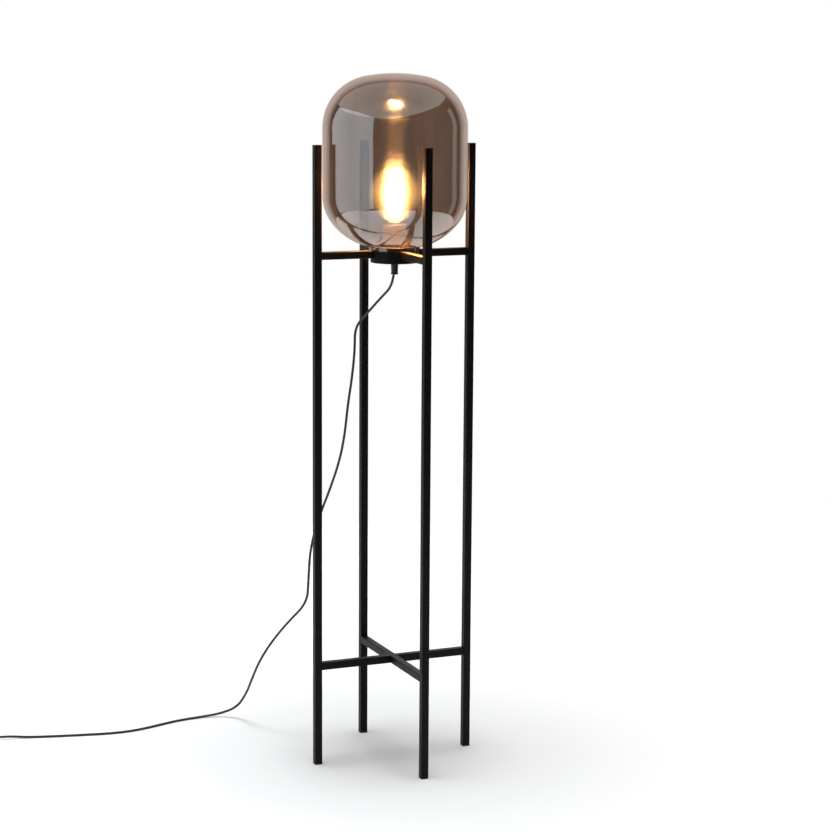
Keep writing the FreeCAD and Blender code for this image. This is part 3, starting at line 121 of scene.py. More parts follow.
def noise(tree, scale, detail=4.0, stretch=None):
    """Noise over the object's own space, with scale in features per metre."""
    source = own_place(tree)
    if stretch:
        mapping = tree.nodes.new("ShaderNodeMapping")
        mapping.inputs["Scale"].default_value = stretch
        link(tree, source, mapping.inputs["Vector"])
        source = mapping.outputs["Vector"]
    texture = tree.nodes.new("ShaderNodeTexNoise")
    texture.inputs["Scale"].default_value = scale
    texture.inputs["Detail"].default_value = detail
    link(tree, source, texture.inputs["Vector"])
    return texture.outputs["Fac"]


def ramp(tree, source, dark, pale):
    """A colour that goes from dark to pale as a noise's value grows."""
    node = tree.nodes.new("ShaderNodeValToRGB")
    for element, place, colour in zip(node.color_ramp.elements, GRAIN_RANGE, (dark, pale)):
        element.position = place
        element.color = (*colour, 1)
    link(tree, source, node.inputs["Fac"])
    return node.outputs["Color"]


def spread(tree, source, low, high, start=0.0, end=1.0):
    """Map a value from start..end to low..high."""
    node = tree.nodes.new("ShaderNodeMapRange")
    node.inputs["From Min"].default_value = start
    node.inputs["From Max"].default_value = end
    node.inputs["To Min"].default_value = low
    node.inputs["To Max"].default_value = high
    link(tree, source, node.inputs["Value"])
    return node.outputs["Result"]


def bumped(tree, height, strength, distance, over=None):
    """The normal of a relief, its distance in metres, laid over another relief's normal."""
    node = tree.nodes.new("ShaderNodeBump")
    node.inputs["Strength"].default_value = strength
    node.inputs["Distance"].default_value = distance
    link(tree, height, node.inputs["Height"])
    if over:
        link(tree, over, node.inputs["Normal"])
    return node.outputs["Normal"]


def compute(tree, operation, first, second=None):
    """A math node over sockets or numbers."""
    node = tree.nodes.new("ShaderNodeMath")
    node.operation = operation
    for socket, source in zip(node.inputs, (first, second)):
        if source is None:
            continue
        if isinstance(source, (int, float)):
            socket.default_value = source
        else:
            link(tree, source, socket)
    return node.outputs[0]


def measure(tree, operation, first, second=None):
    """A vector math node that gives a number, over a socket and a fixed vector."""
    node = tree.nodes.new("ShaderNodeVectorMath")
    node.operation = operation
    link(tree, first, node.inputs[0])
    if second is not None:
        node.inputs[1].default_value = second
    return node.outputs["Value"]


def mix_colours(tree, factor, first, second):
    """Mix two colours, each a socket or a colour."""
    node = tree.nodes.new("ShaderNodeMix")
    node.data_type = "RGBA"
    link(tree, factor, node.inputs["Factor"])
    for socket, source in zip((node.inputs[6], node.inputs[7]), (first, second)):
        if isinstance(source, tuple):
            socket.default_value = (*source, 1)
        else:
            link(tree, source, socket)
    return node.outputs[2]


def mix_shaders(tree, factor, first, second):
    """Mix two shader nodes."""
    node = tree.nodes.new("ShaderNodeMixShader")
    link(tree, factor, node.inputs["Fac"])
    link(tree, first.outputs[0], node.inputs[1])
    link(tree, second.outputs[0], node.inputs[2])
    return node


# Solid finishes

RELIEF_DETAIL = 3.0
RELIEF_STRENGTH = 0.5


def surface(name, dark, pale, grain, rough, relief, fine=3000, metal=0.0, shine=0.5):
    """A solid surface: colour and roughness vary with a coarse grain, and a fine one gives relief."""
    material, tree, shader = new_material(name)
    shader.inputs["Specular IOR Level"].default_value = shine
    shader.inputs["Metallic"].default_value = metal
    coarse = noise(tree, grain)
    link(tree, ramp(tree, coarse, dark, pale), shader.inputs["Base Color"])
    link(tree, spread(tree, coarse, *rough, *GRAIN_RANGE), shader.inputs["Roughness"])
    height = noise(tree, fine, RELIEF_DETAIL)
    link(tree, bumped(tree, height, RELIEF_STRENGTH, relief), shader.inputs["Normal"])
    return material


# Glass: it is thin and mirrors a share of the room, and a faint haze draws lights into upright lines

EDGE_BLEND = 0.5
EDGE_RANGE = (0.2, 0.6)
CAUSTIC_SHARE = 0.07
TINT_STREAKS = {"scale": 40, "detail": 3.0, "stretch": (1, 1, 0.12)}
TINT_CHANGE = 0.04
RIPPLES = {"scale": 22, "detail": 2.0, "stretch": (1, 1, 0.2)}
DRAWN_LINES = {"scale": 420, "detail": 2.0, "stretch": (1, 1, 0.03)}
RIPPLE_STRENGTH = 0.4
DRAWN_DEPTH = 0.12
BRUSHED_LINES = {"scale": 300, "detail": 2.0, "stretch": (1, 1, 0.02)}
BRUSHED_STRENGTH = 0.5
BRUSHED_DEPTH = 0.6
HAZY_LINES = {"scale": 260, "detail": 1.0, "stretch": (1, 1, 0.01)}
HAZY_RANGE = (0.42, 0.68)
HAZE_SHARE = 0.014
HAZE_ROUGHNESS = 0.15
HAZE_ANISOTROPY = 0.92


def hazy_gloss(tree, ripple, relief):
    """Gloss that is smeared upwards and downwards."""
    haze = tree.nodes.new("ShaderNodeBsdfAnisotropic")
    haze.inputs["Roughness"].default_value = HAZE_ROUGHNESS
    haze.inputs["Anisotropy"].default_value = HAZE_ANISOTROPY
    around = tree.nodes.new("ShaderNodeTangent")
    around.direction_type = "RADIAL"
    around.axis = "Z"
    link(tree, around.outputs[0], haze.inputs["Tangent"])
    height = noise(tree, **BRUSHED_LINES)
    brushed = bumped(tree, height, BRUSHED_STRENGTH, relief * BRUSHED_DEPTH, ripple)
    link(tree, brushed, haze.inputs["Normal"])
    return haze


def mirror_glass(name, tint, mirrored, colours, roughness, relief):
    """Thin glass without bending: what is behind shows tinted, and gloss grows towards the edge.

    mirrored holds the share that a face mirrors and colours the colour of its gloss, each seen
    straight on and along the face. Light on its way to a matt surface is mirrored much less,
    because the curved glass would gather it too strongly.
    """
    material, tree, shader = new_material(name)
    tree.nodes.remove(shader)
    facing = tree.nodes.new("ShaderNodeLayerWeight")
    facing.inputs["Blend"].default_value = EDGE_BLEND
    edge = spread(tree, facing.outputs["Facing"], 0, 1, *EDGE_RANGE)
    clear = tree.nodes.new("ShaderNodeBsdfTransparent")
    deep = tuple(c * (1 - TINT_CHANGE) for c in tint)
    pale = tuple(min(1.0, c * (1 + TINT_CHANGE)) for c in tint)
    link(tree, ramp(tree, noise(tree, **TINT_STREAKS), deep, pale), clear.inputs["Color"])
    ripple = bumped(tree, noise(tree, **RIPPLES), RIPPLE_STRENGTH, relief)
    height = noise(tree, **DRAWN_LINES)
    drawn = bumped(tree, height, RIPPLE_STRENGTH, relief * DRAWN_DEPTH, ripple)
    gloss = tree.nodes.new("ShaderNodeBsdfGlossy")
    gloss.inputs["Roughness"].default_value = roughness
    link(tree, mix_colours(tree, edge, *colours), gloss.inputs["Color"])
    link(tree, drawn, gloss.inputs["Normal"])
    hazy = spread(tree, noise(tree, **HAZY_LINES), 0, HAZE_SHARE, *HAZY_RANGE)
    mirror = mix_shaders(tree, hazy, gloss, hazy_gloss(tree, ripple, relief))
    gathered = spread(tree, light_paths(tree)["Is Diffuse Ray"], 1, CAUSTIC_SHARE)
    share = compute(tree, "MULTIPLY", spread(tree, edge, *mirrored), gathered)
    both = mix_shaders(tree, share, clear, mirror)
    link(tree, both.outputs[0], tree.nodes["Material Output"].inputs["Surface"])
    return material


# Filament

FILAMENT_BASE = (0.8, 0.55, 0.2)
FILAMENT_ROUGHNESS = 0.6
FILAMENT_GRAIN = {"scale": 900, "detail": 3.0}
FILAMENT_DIM = (1.0, 0.50, 0.16)
FILAMENT_BRIGHT = (1.0, 0.66, 0.30)
FILAMENT_STRENGTH = 60


def unless_matt(tree):
    """1, or 0 for light on its way to a matt surface, which the bulb's own lamp lights instead."""
    return compute(tree, "SUBTRACT", 1.0, light_paths(tree)["Is Diffuse Ray"])


def make_filament():
    """Glowing filament coating, brighter in some places than in others."""
    material, tree, shader = new_material("filament")
    shader.inputs["Base Color"].default_value = (*FILAMENT_BASE, 1)
    shader.inputs["Roughness"].default_value = FILAMENT_ROUGHNESS
    glow = ramp(tree, noise(tree, **FILAMENT_GRAIN), FILAMENT_DIM, FILAMENT_BRIGHT)
    link(tree, glow, shader.inputs["Emission Color"])
    strength = compute(tree, "MULTIPLY", unless_matt(tree), FILAMENT_STRENGTH)
    link(tree, strength, shader.inputs["Emission Strength"])
    return material


# The finish of each material slot

FINISHES = {
    "black_powder_coat": surface(
        "powder_coat",
        dark=(0.0032, 0.0030, 0.0028),
        pale=(0.0052, 0.0048, 0.0045),
        grain=60,
        rough=(0.42, 0.52),
        relief=0.05 * MM,
        fine=1400,
        shine=0.13,
    ),
    "black_plastic": surface(
        "black_plastic",
        dark=(0.009, 0.009, 0.009),
        pale=(0.014, 0.0138, 0.0135),
        grain=120,
        rough=(0.40, 0.50),
        relief=0.03 * MM,
    ),
    "button_plastic": surface(
        "button_plastic",
        dark=(0.014, 0.014, 0.014),
        pale=(0.02, 0.02, 0.02),
        grain=150,
        rough=(0.24, 0.32),
        relief=0.01 * MM,
    ),
    "zinc_steel": surface(
        "zinc_steel",
        dark=(0.46, 0.46, 0.44),
        pale=(0.60, 0.60, 0.57),
        grain=220,
        rough=(0.26, 0.38),
        relief=0.01 * MM,
        fine=1800,
        metal=1.0,
    ),
    "cord_sheath": surface(
        "cord_sheath",
        dark=(0.014, 0.0135, 0.013),
        pale=(0.021, 0.020, 0.019),
        grain=90,
        rough=(0.42, 0.55),
        relief=0.04 * MM,
        fine=2200,
    ),
    "tie_plastic": surface(
        "tie_plastic",
        dark=(0.010, 0.010, 0.010),
        pale=(0.022, 0.022, 0.022),
        grain=900,
        rough=(0.55, 0.70),
        relief=0.12 * MM,
        fine=2600,
    ),
    "glazed_ceramic": surface(
        "glazed_ceramic",
        dark=(0.55, 0.52, 0.46),
        pale=(0.62, 0.59, 0.53),
        grain=45,
        rough=(0.14, 0.26),
        relief=0.02 * MM,
        fine=500,
    ),
    "brass": surface(
        "brass",
        dark=(0.60, 0.42, 0.17),
        pale=(0.74, 0.54, 0.25),
        grain=160,
        rough=(0.22, 0.34),
        relief=0.01 * MM,
        fine=1500,
        metal=1.0,
    ),
    "nickel_plate": surface(
        "nickel_plate",
        dark=(0.52, 0.49, 0.44),
        pale=(0.66, 0.63, 0.58),
        grain=180,
        rough=(0.18, 0.30),
        relief=0.01 * MM,
        fine=1500,
        metal=1.0,
    ),
    "sleeve_plastic": surface(
        "sleeve_plastic",
        dark=(0.012, 0.012, 0.012),
        pale=(0.018, 0.018, 0.018),
        grain=200,
        rough=(0.38, 0.48),
        relief=0.01 * MM,
    ),
    "core_insulation": surface(
        "core_insulation",
        dark=(0.14, 0.06, 0.03),
        pale=(0.19, 0.085, 0.045),
        grain=150,
        rough=(0.35, 0.45),
        relief=0.01 * MM,
    ),
    "dark_glass": surface(
        "dark_glass",
        dark=(0.006, 0.005, 0.009),
        pale=(0.012, 0.010, 0.016),
        grain=300,
        rough=(0.08, 0.16),
        relief=0.01 * MM,
        fine=700,
    ),
    "solder": surface(
        "solder",
        dark=(0.50, 0.50, 0.49),
        pale=(0.66, 0.66, 0.65),
        grain=400,
        rough=(0.30, 0.50),
        relief=0.08 * MM,
        fine=700,
        metal=1.0,
    ),
    "ring_metal": surface(
        "ring_metal",
        dark=(0.50, 0.48, 0.45),
        pale=(0.62, 0.60, 0.56),
        grain=250,
        rough=(0.25, 0.38),
        relief=0.01 * MM,
        fine=1500,
        metal=1.0,
    ),
    "smoked_glass": mirror_glass(
        "smoked_glass",
        tint=(0.65, 0.565, 0.51),
        mirrored=(0.155, 0.28),
        colours=((0.89, 0.97, 1.0), (1.0, 0.91, 0.86)),
        roughness=0.015,
        relief=0.6 * MM,
    ),
    "clear_glass": mirror_glass(
        "clear_glass",
        tint=(0.97, 0.965, 0.95),
        mirrored=(0.04, 0.22),
        colours=(WHITE, WHITE),
        roughness=0.01,
        relief=0.2 * MM,
    ),
    "filament": make_filament(),
}
SLOTS = {part["node"]: part["material_slot"] for part in frame["record"]["subparts"]}
SHARP_ANGLE = math.radians(28)


def shade_smooth(mesh):
    """Smooth shading, with the sharp edges kept."""
    for face in mesh.polygons:
        face.use_smooth = True
    mesh.set_sharp_from_angle(angle=SHARP_ANGLE)


def dress_nodes():
    """Give every CAD node the finish that the record names for it, and shade it smooth."""
    for name, slot in SLOTS.items():
        mesh = nodes[name].data
        mesh.materials.clear()
        mesh.materials.append(FINISHES[slot])
        shade_smooth(mesh)


# Cords: the same chosen points as the part's source, in metres

CORD_RADIUS = 2.5 * MM
CORD_ROUNDNESS = 5
CORD_SMOOTHNESS = 8
LAMP_ROUTE = (
    (0, 0, 1.0065),
    (0, 0, 0.962),
    (-0.017, 0.036, 0.928),
    (-0.034, 0.065, 0.895),
    (-0.049, 0.088, 0.867),
    (-0.049, 0.088, 0.82),
    (-0.053, 0.093, 0.764),
    (-0.059, 0.101, 0.707),
    (-0.063, 0.106, 0.65),
    (-0.07, 0.116, 0.594),
    (-0.084, 0.136, 0.53),
    (-0.101, 0.158, 0.466),
    (-0.113, 0.173, 0.402),
    (-0.116, 0.176, 0.338),
    (-0.118, 0.178, 0.286),
    (-0.147, 0.213, 0.24),
    (-0.173, 0.244, 0.192),
    (-0.193, 0.267, 0.145),
    (-0.202, 0.29, 0.1),
    (-0.203, 0.322, 0.062),
    (-0.214, 0.352, 0.024),
    (-0.245, 0.377, 0.006),
    (-0.292, 0.381, 0.0025),
    (-0.342, 0.374, 0.0025),
    (-0.393, 0.356, 0.0025),
    (-0.441, 0.341, 0.0025),
    (-0.492, 0.339, 0.0025),
    (-0.546, 0.35, 0.0025),
    (-0.604, 0.363, 0.0025),
    (-0.66, 0.378, 0.0025),
    (-0.706, 0.39, 0.0065),
    (-0.748, 0.39, 0.0065),
)
TAIL_ROUTE = (
    (-0.836, 0.39, 0.0065),
    (-0.852, 0.39, 0.0065),
    (-0.87, 0.39, 0.0035),
    (-0.886, 0.39, 0.0035),
)
PLUG_ROUTE = (
    (-0.886, 0.457, 0.0091),
    (-0.87, 0.457, 0.0091),
    (-0.852, 0.457, 0.00685),
    (-0.836, 0.457, 0.00685),
)
COIL_CENTRE = (-0.891, 0.4235)
COIL_RADIUS = 33.5 * MM
COIL_PITCH = 5.7 * MM
COIL_LEVEL = 3.5 * MM
COIL_LAYER = 5.6 * MM
COIL_LAYER_TURNS = 2
COIL_REVERSAL = 0.5
COIL_POINTS = 24


def coil_points():
    """Control points of the coil: in along the lower layer, up in half a turn, out along the upper.

    A spline of order 3 runs a little inside control points that stand on a circle, so that the
    points are moved outwards by the same share.
    """
    count = round((2 * COIL_LAYER_TURNS + COIL_REVERSAL) * COIL_POINTS)
    outwards = 4 / (3 + math.cos(2 * math.pi / COIL_POINTS))
    inner = COIL_RADIUS - COIL_PITCH * COIL_LAYER_TURNS
    points = []
    for number in range(count + 1):
        turn = number / COIL_POINTS
        past = turn - COIL_LAYER_TURNS
        if past <= 0:
            radius, climb = COIL_RADIUS - COIL_PITCH * turn, 0
        elif past < COIL_REVERSAL:
            share = past / COIL_REVERSAL
            radius = inner - COIL_PITCH * past * (1 - share)
            climb = share * share * (3 - 2 * share)
        else:
            radius, climb = inner + COIL_PITCH * (past - COIL_REVERSAL), 1
        angle = -math.pi / 2 - 2 * math.pi * turn
        x = COIL_CENTRE[0] + radius * outwards * math.cos(angle)
        y = COIL_CENTRE[1] + radius * outwards * math.sin(angle)
        points.append((x, y, COIL_LEVEL + COIL_LAYER * climb))
    return points


def cord_curve(name, points):
    """A round cord on one smooth spline."""
    curve = bpy.data.curves.new(name, "CURVE")
    curve.dimensions = "3D"
    spline = curve.splines.new("NURBS")
    spline.points.add(len(points) - 1)
    for point, place in zip(spline.points, points):
        point.co = (*place, 1)
    spline.order_u = 3
    spline.use_endpoint_u = True
    spline.resolution_u = CORD_SMOOTHNESS
    curve.bevel_depth = CORD_RADIUS
    curve.bevel_resolution = CORD_ROUNDNESS
    curve.use_fill_caps = True
    curve.materials.append(FINISHES["cord_sheath"])
    cord = bpy.data.objects.new(name, curve)
    bpy.context.scene.collection.objects.link(cord)
    return cord


def make_cords():
    """The run to the foot switch, and the spare cord with its coil and plug."""
    run = cord_curve("cord_run", LAMP_ROUTE)
    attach(run, "stand")
    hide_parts("cord_lamp")
    spare = cord_curve("cord_spare", [*TAIL_ROUTE, *coil_points(), *PLUG_ROUTE])
    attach(spare, "stand")
    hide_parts("cord_tail", "cord_coil", "cord_plug_run")


# Worked meshes


def as_piece(name, form, node, body=None):
    """Make a worked mesh a piece that stands for a CAD node, and lay it on a body."""
    slot = SLOTS[node]
    bmesh.ops.recalc_face_normals(form, faces=form.faces)
    mesh = bpy.data.meshes.new(name)
    form.to_mesh(mesh)
    form.free()
    shade_smooth(mesh)
    mesh.materials.append(FINISHES[slot])
    piece = bpy.data.objects.new(name, mesh)
    bpy.context.scene.collection.objects.link(piece)
    if body:
        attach(piece, body)
    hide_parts(node)
    return piece


def add_loop(form, points):
    """A closed loop of new corners."""
    return [form.verts.new(point) for point in points]


def join_loops(form, low, high):
    """A band of faces between two loops of as many corners."""
    for a, b, c, d in zip(low, low[1:] + low[:1], high[1:] + high[:1], high):
        form.faces.new((a, b, c, d))


def level_way(turn):
    """A level direction, in turns from +X."""
    angle = 2 * math.pi * turn
    return Vector((math.cos(angle), math.sin(angle), 0))


def circle(centre, radius, height, steps):
    """Points round a circle above a centre."""
    return [centre + radius * level_way(n / steps) + height * UP for n in range(steps)]


# Screws: the sizes are the part's own, and shares are of the head's radius, its height or the pitch

COVER_SCREW = {"head": 2.9 * MM, "sink": 1.4 * MM, "shank": 1.5 * MM, "edge": 0.12}
SWITCH_SCREW = {"head": 2.3 * MM, "sink": 1.2 * MM, "shank": 1.2 * MM, "edge": 1.0}
SCREW_STEPS = 40
SCREW_FACE = 0.93
SCREW_CHAMFER = 0.1
SCREW_PITCH = 0.7 * MM
SCREW_START = 0.3
SCREW_ROOT = 0.84
SCREW_TIP = 0.7
SCREW_TIP_HEIGHT = 0.1 * MM
CROSS_REACH = 0.62
CROSS_WIDTH = 0.14
CROSS_DEPTH = 0.5
CROSS_FLOOR_REACH = 0.7
CROSS_FLOOR_WIDTH = 0.6


def cross(centre, reach, half, height):
    """The twelve corners of a cross recess."""
    points = [(reach, -half), (reach, half), (half, half)]
    for _ in range(3):
        points += [(-y, x) for x, y in points[-3:]]
    return [centre + Vector((x, y, height)) for x, y in points]


def add_screw(form, centre, length, head, sink, shank, edge):
    """A cross-head screw with its head down.

    sink is the head's height, and edge the share of it where the rim is upright; above that the
    head tapers to the shank.
    """
    outline = [
        (head * SCREW_FACE, 0),
        (head, SCREW_CHAMFER * sink),
        (head, edge * sink),
        (shank, sink),
    ]
    for turn in range(int((length - sink) / SCREW_PITCH) - 1):
        level = sink + (turn + SCREW_START) * SCREW_PITCH
        outline += [(shank, level), (shank * SCREW_ROOT, level + SCREW_PITCH / 2)]
    outline += [(shank * SCREW_ROOT, length - SCREW_TIP_HEIGHT), (shank * SCREW_TIP, length)]
    loops = [add_loop(form, circle(centre, *corner, SCREW_STEPS)) for corner in outline]
    for low, high in zip(loops, loops[1:]):
        join_loops(form, low, high)
    form.faces.new(loops[-1])
    reach, half = CROSS_REACH * head, CROSS_WIDTH * head
    mouth = add_loop(form, cross(centre, reach, half, 0))
    reach, half = reach * CROSS_FLOOR_REACH, half * CROSS_FLOOR_WIDTH
    floor = add_loop(form, cross(centre, reach, half, CROSS_DEPTH * head))
    join_loops(form, mouth, floor)
    form.faces.new(floor)
    rims = []
    for loop in (loops[0], mouth):
        rims += [form.edges.get(pair) for pair in zip(loop, loop[1:] + loop[:1])]
    bmesh.ops.triangle_fill(form, use_beauty=True, edges=rims, normal=-UP)


def make_screws():
    """The hub cover's and the switch's screws, with cross recesses and threads."""
    for node, screw in (("cover_screws", COVER_SCREW), ("switch_screws", SWITCH_SCREW)):
        low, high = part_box(node)
        form = bmesh.new()
        for x in (low[0] + screw["head"], high[0] - screw["head"]):
            foot = Vector((x, (low[1] + high[1]) / 2, low[2]))
            add_screw(form, foot, high[2] - low[2], **screw)
        as_piece(node + "_worked", form, node, "stand")


# Bulb cap: levels are heights above the bulb's base

CAP_PITCH = 3.6 * MM
CAP_GROOVE = 0.7 * MM
CAP_WALL = 0.4 * MM
CAP_THREAD_START = 8.5 * MM
CAP_THREAD_END = 20.5 * MM
CAP_THREAD_LEVELS = 60
CAP_FOOT = 5.0 * MM
CAP_SHOULDER = 11.0 * MM
CAP_MOUTH = 11.05 * MM
CAP_STEPS = 72


def make_bulb_cap():
    """The bulb's screw cap with its rolled thread, cut inwards from the solid's outline."""
    low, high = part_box("bulb_cap")
    radius = (high[0] - low[0]) / 2
    base = Vector((0, 0, low[2] - CAP_FOOT))
    top = high[2] - base.z
    slope_top = CAP_FOOT + radius - CAP_SHOULDER
    form = bmesh.new()

    def ring(reach, level):
        return add_loop(form, circle(base, reach, level, CAP_STEPS))

    def thread_ring(reach, level):
        turns_from_end = min(level - CAP_THREAD_START, CAP_THREAD_END - level) / CAP_PITCH
        depth = CAP_GROOVE * max(0.0, min(1.0, turns_from_end))
        points = []
        for step in range(CAP_STEPS):
            turn = step / CAP_STEPS
            wave = (1 - math.cos(2 * math.pi * (level / CAP_PITCH - turn))) / 2
            points.append(base + (reach - depth * wave) * level_way(turn) + level * UP)
        return add_loop(form, points)

    rise = (CAP_THREAD_END - CAP_THREAD_START) / CAP_THREAD_LEVELS
    levels = [CAP_THREAD_START + rise * n for n in range(CAP_THREAD_LEVELS + 1)]
    inside = radius - CAP_WALL
    loops = [
        ring(CAP_MOUTH + CAP_WALL, CAP_FOOT),
        ring(radius, slope_top),
        *(thread_ring(radius, level) for level in levels),
        ring(radius, top),
        ring(inside, top),
        *(thread_ring(inside, level) for level in reversed(levels)),
        ring(inside, slope_top),
        ring(CAP_MOUTH, CAP_FOOT),
    ]
    for one, other in zip(loops, loops[1:] + loops[:1]):
        join_loops(form, one, other)
    as_piece("bulb_cap_threaded", form, "bulb_cap", "bulb")


# Coil ties

TIE_RIB = 0.5 * MM
TIE_THICKNESS = 0.6 * MM
TIE_TOOTH = 0.12 * MM
TIE_CORNER = 3.0 * MM
TIE_CORNER_STEPS = 14


def band_line(low, high):
    """Points and outward directions round a rounded rectangle in the XZ plane."""
    left, right = low[0] + TIE_CORNER, high[0] - TIE_CORNER
    bottom, top = low[2] + TIE_CORNER, high[2] - TIE_CORNER
    corners = ((right, top), (left, top), (left, bottom), (right, bottom))
    spots = []
    for quarter, (x, z) in enumerate(corners):
        for step in range(TIE_CORNER_STEPS + 1):
            angle = math.pi / 2 * (quarter + step / TIE_CORNER_STEPS)
            out = Vector((math.cos(angle), 0, math.sin(angle)))
            spots.append((Vector((x, 0, z)) + TIE_CORNER * out, out))
    line = []
    for (spot, out), (following, _) in zip(spots, spots[1:] + spots[:1]):
        pieces = max(1, round((following - spot).length / TIE_RIB))
        line += [(spot.lerp(following, n / pieces), out) for n in range(pieces)]
    return line


def make_ties():
    """The two bands round the coil, with rounded corners and fine cross ribs."""
    corners = [v.co for v in nodes["coil_ties"].data.vertices]
    on_right = [c for c in corners if c.x > COIL_CENTRE[0]]
    on_left = [c for c in corners if c.x < COIL_CENTRE[0]]
    for number, points in enumerate((on_right, on_left), 1):
        low = [min(p[axis] for p in points) for axis in range(3)]
        high = [max(p[axis] for p in points) for axis in range(3)]
        near, far = Vector((0, low[1], 0)), Vector((0, high[1], 0))
        form = bmesh.new()
        sections = []
        for index, (spot, out) in enumerate(band_line(low, high)):
            skin = spot - out * (TIE_TOOTH if index % 2 else 0)
            under = spot - out * TIE_THICKNESS
            sections.append(add_loop(form, [skin + near, skin + far, under + far, under + near]))
        for one, other in zip(sections, sections[1:] + sections[:1]):
            join_loops(form, one, other)
        as_piece(f"coil_tie_{number}", form, "coil_ties", "stand")


# Button spring

SPRING_WIRE = 0.35 * MM
SPRING_TURNS = 5
SPRING_CLOSE_TURNS = 0.75
SPRING_CLOSE_RISE = 0.8 * MM
SPRING_STEPS = 28
SPRING_SIDES = 10


def make_spring():
    """The button's spring with close end turns, at its length with the button up."""
    low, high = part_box("switch_spring")
    radius = (high[0] - low[0]) / 2 - SPRING_WIRE
    middle = Vector(((low[0] + high[0]) / 2, (low[1] + high[1]) / 2, 0))
    bottom, top = low[2] + SPRING_WIRE, high[2] - SPRING_WIRE
    still, moved = bottom + SPRING_CLOSE_RISE, top - SPRING_CLOSE_RISE
    rises = (
        (0, bottom),
        (SPRING_CLOSE_TURNS, still),
        (SPRING_TURNS - SPRING_CLOSE_TURNS, moved),
        (SPRING_TURNS, top),
    )
    sides = [2 * math.pi * side / SPRING_SIDES for side in range(SPRING_SIDES)]
    form = bmesh.new()
    sections = []
    for (turn, level), (next_turn, next_level) in zip(rises, rises[1:]):
        steps = round((next_turn - turn) * SPRING_STEPS)
        for step in range(steps + (next_turn == SPRING_TURNS)):
            share = step / steps
            out = level_way(turn + (next_turn - turn) * share)
            heart = middle + radius * out + (level + (next_level - level) * share) * UP
            rim = [heart + SPRING_WIRE * (math.cos(s) * out + math.sin(s) * UP) for s in sides]
            sections.append(add_loop(form, rim))
    for one, other in zip(sections, sections[1:]):
        join_loops(form, one, other)
    form.faces.new(sections[0])
    form.faces.new(sections[-1])
    spring = as_piece("button_spring", form, "switch_spring")
    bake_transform(spring)


# Bulb: a painted glow, strongest round the filaments, and a painted bloom of it that fades out beyond
# the globe

BULB_BASE = 1.052
FILAMENT_LEVEL = BULB_BASE + 0.0848
GLOBE_CENTRE = Vector((0, 0, BULB_BASE + 0.086))
HALO_RADIUS = 0.054
NECK_RADIUS = 0.0113
NECK_TOP = BULB_BASE + 0.030
HALO_STEPS = 24
LATHE_STEPS = 48
MERGE_DISTANCE = 1e-6
# Painted light: a volume gives off light where there is no lamp, as a painted glare round the
# filaments and a painted bloom beyond the glass
GLOW_COLOUR = (1.0, 0.66, 0.24)
GLOW_STRENGTH = 6500
GLOW_ACROSS = 0.0135
GLOW_ALONG = 0.036
GLOW_ALONG_POWER = 3
UNEVEN_ENDS = {"scale": 110, "detail": 1.0, "stretch": (1, 1, 0)}
UNEVEN_RANGE = (0.35, 0.65)
UNEVEN_REACH = (0.7 * GLOW_ALONG, 1.35 * GLOW_ALONG)
PAINTED_BLOOM_STRENGTH = 72
PAINTED_BLOOM_CORE = 0.022
LAMP_COLOUR = (1.0, 0.55, 0.22)
LAMP_SIZE = 0.006
MATT_POWER = 13.0
SHINE_POWER = 60.0
SHINE_PLACES = (
    (0.012, 0.0, -0.016),
    (-0.012, 0.0, 0.012),
    (0.0, 0.012, 0.020),
    (0.0, -0.012, -0.004),
)


def lathe(name, profile):
    """A closed turned mesh from (radius, height) corners that start and end on the axis."""
    form = bmesh.new()
    corners = [form.verts.new((radius, 0, height)) for radius, height in profile]
    edges = [form.edges.new(pair) for pair in zip(corners, corners[1:])]
    bmesh.ops.spin(
        form,
        geom=corners + edges,
        axis=UP,
        cent=ORIGIN,
        steps=LATHE_STEPS,
        angle=2 * math.pi,
        use_merge=True,
    )
    bmesh.ops.remove_doubles(form, verts=form.verts, dist=MERGE_DISTANCE)
    bmesh.ops.recalc_face_normals(form, faces=form.faces)
    mesh = bpy.data.meshes.new(name)
    form.to_mesh(mesh)
    form.free()
    turned = bpy.data.objects.new(name, mesh)
    bpy.context.scene.collection.objects.link(turned)
    return turned


def halo_profile():
    """A ball round the globe on a short neck, which stands where the bulb's own neck begins."""
    profile = [(0, NECK_TOP), (NECK_RADIUS, NECK_TOP)]
    first = math.asin(NECK_RADIUS / HALO_RADIUS)
    for step in range(HALO_STEPS):
        turn = first + (math.pi - first) * step / HALO_STEPS
        height = GLOBE_CENTRE.z - HALO_RADIUS * math.cos(turn)
        profile.append((HALO_RADIUS * math.sin(turn), height))
    profile.append((0, GLOBE_CENTRE.z + HALO_RADIUS))
    return profile


def painted_glow_strength(tree):
    """Painted light from each place of the volume: a tall heart with uneven ends, in a round painted
    bloom.
    """
    place = own_place(tree)
    parts = tree.nodes.new("ShaderNodeSeparateXYZ")
    link(tree, place, parts.inputs[0])
    x, y, z = parts.outputs
    sides = [compute(tree, "DIVIDE", side, GLOW_ACROSS) for side in (x, y)]
    across = compute(tree, "ADD", *(compute(tree, "POWER", side, 2) for side in sides))
    height = compute(tree, "SUBTRACT", z, FILAMENT_LEVEL)
    reach = spread(tree, noise(tree, **UNEVEN_ENDS), *UNEVEN_REACH, *UNEVEN_RANGE)
    share = compute(tree, "ABSOLUTE", compute(tree, "DIVIDE", height, reach))
    along = compute(tree, "POWER", share, GLOW_ALONG_POWER)
    faded = compute(tree, "MULTIPLY", compute(tree, "ADD", across, along), -1)
    heart = compute(tree, "MULTIPLY", compute(tree, "EXPONENT", faded), GLOW_STRENGTH)
    from_centre = measure(tree, "DISTANCE", place, GLOBE_CENTRE)
    # Painted bloom: strongest near the globe's centre, fading out at the halo's rim
    haze = spread(tree, from_centre, PAINTED_BLOOM_STRENGTH, 0, PAINTED_BLOOM_CORE, HALO_RADIUS)
    return compute(tree, "MULTIPLY", compute(tree, "ADD", heart, haze), unless_matt(tree))


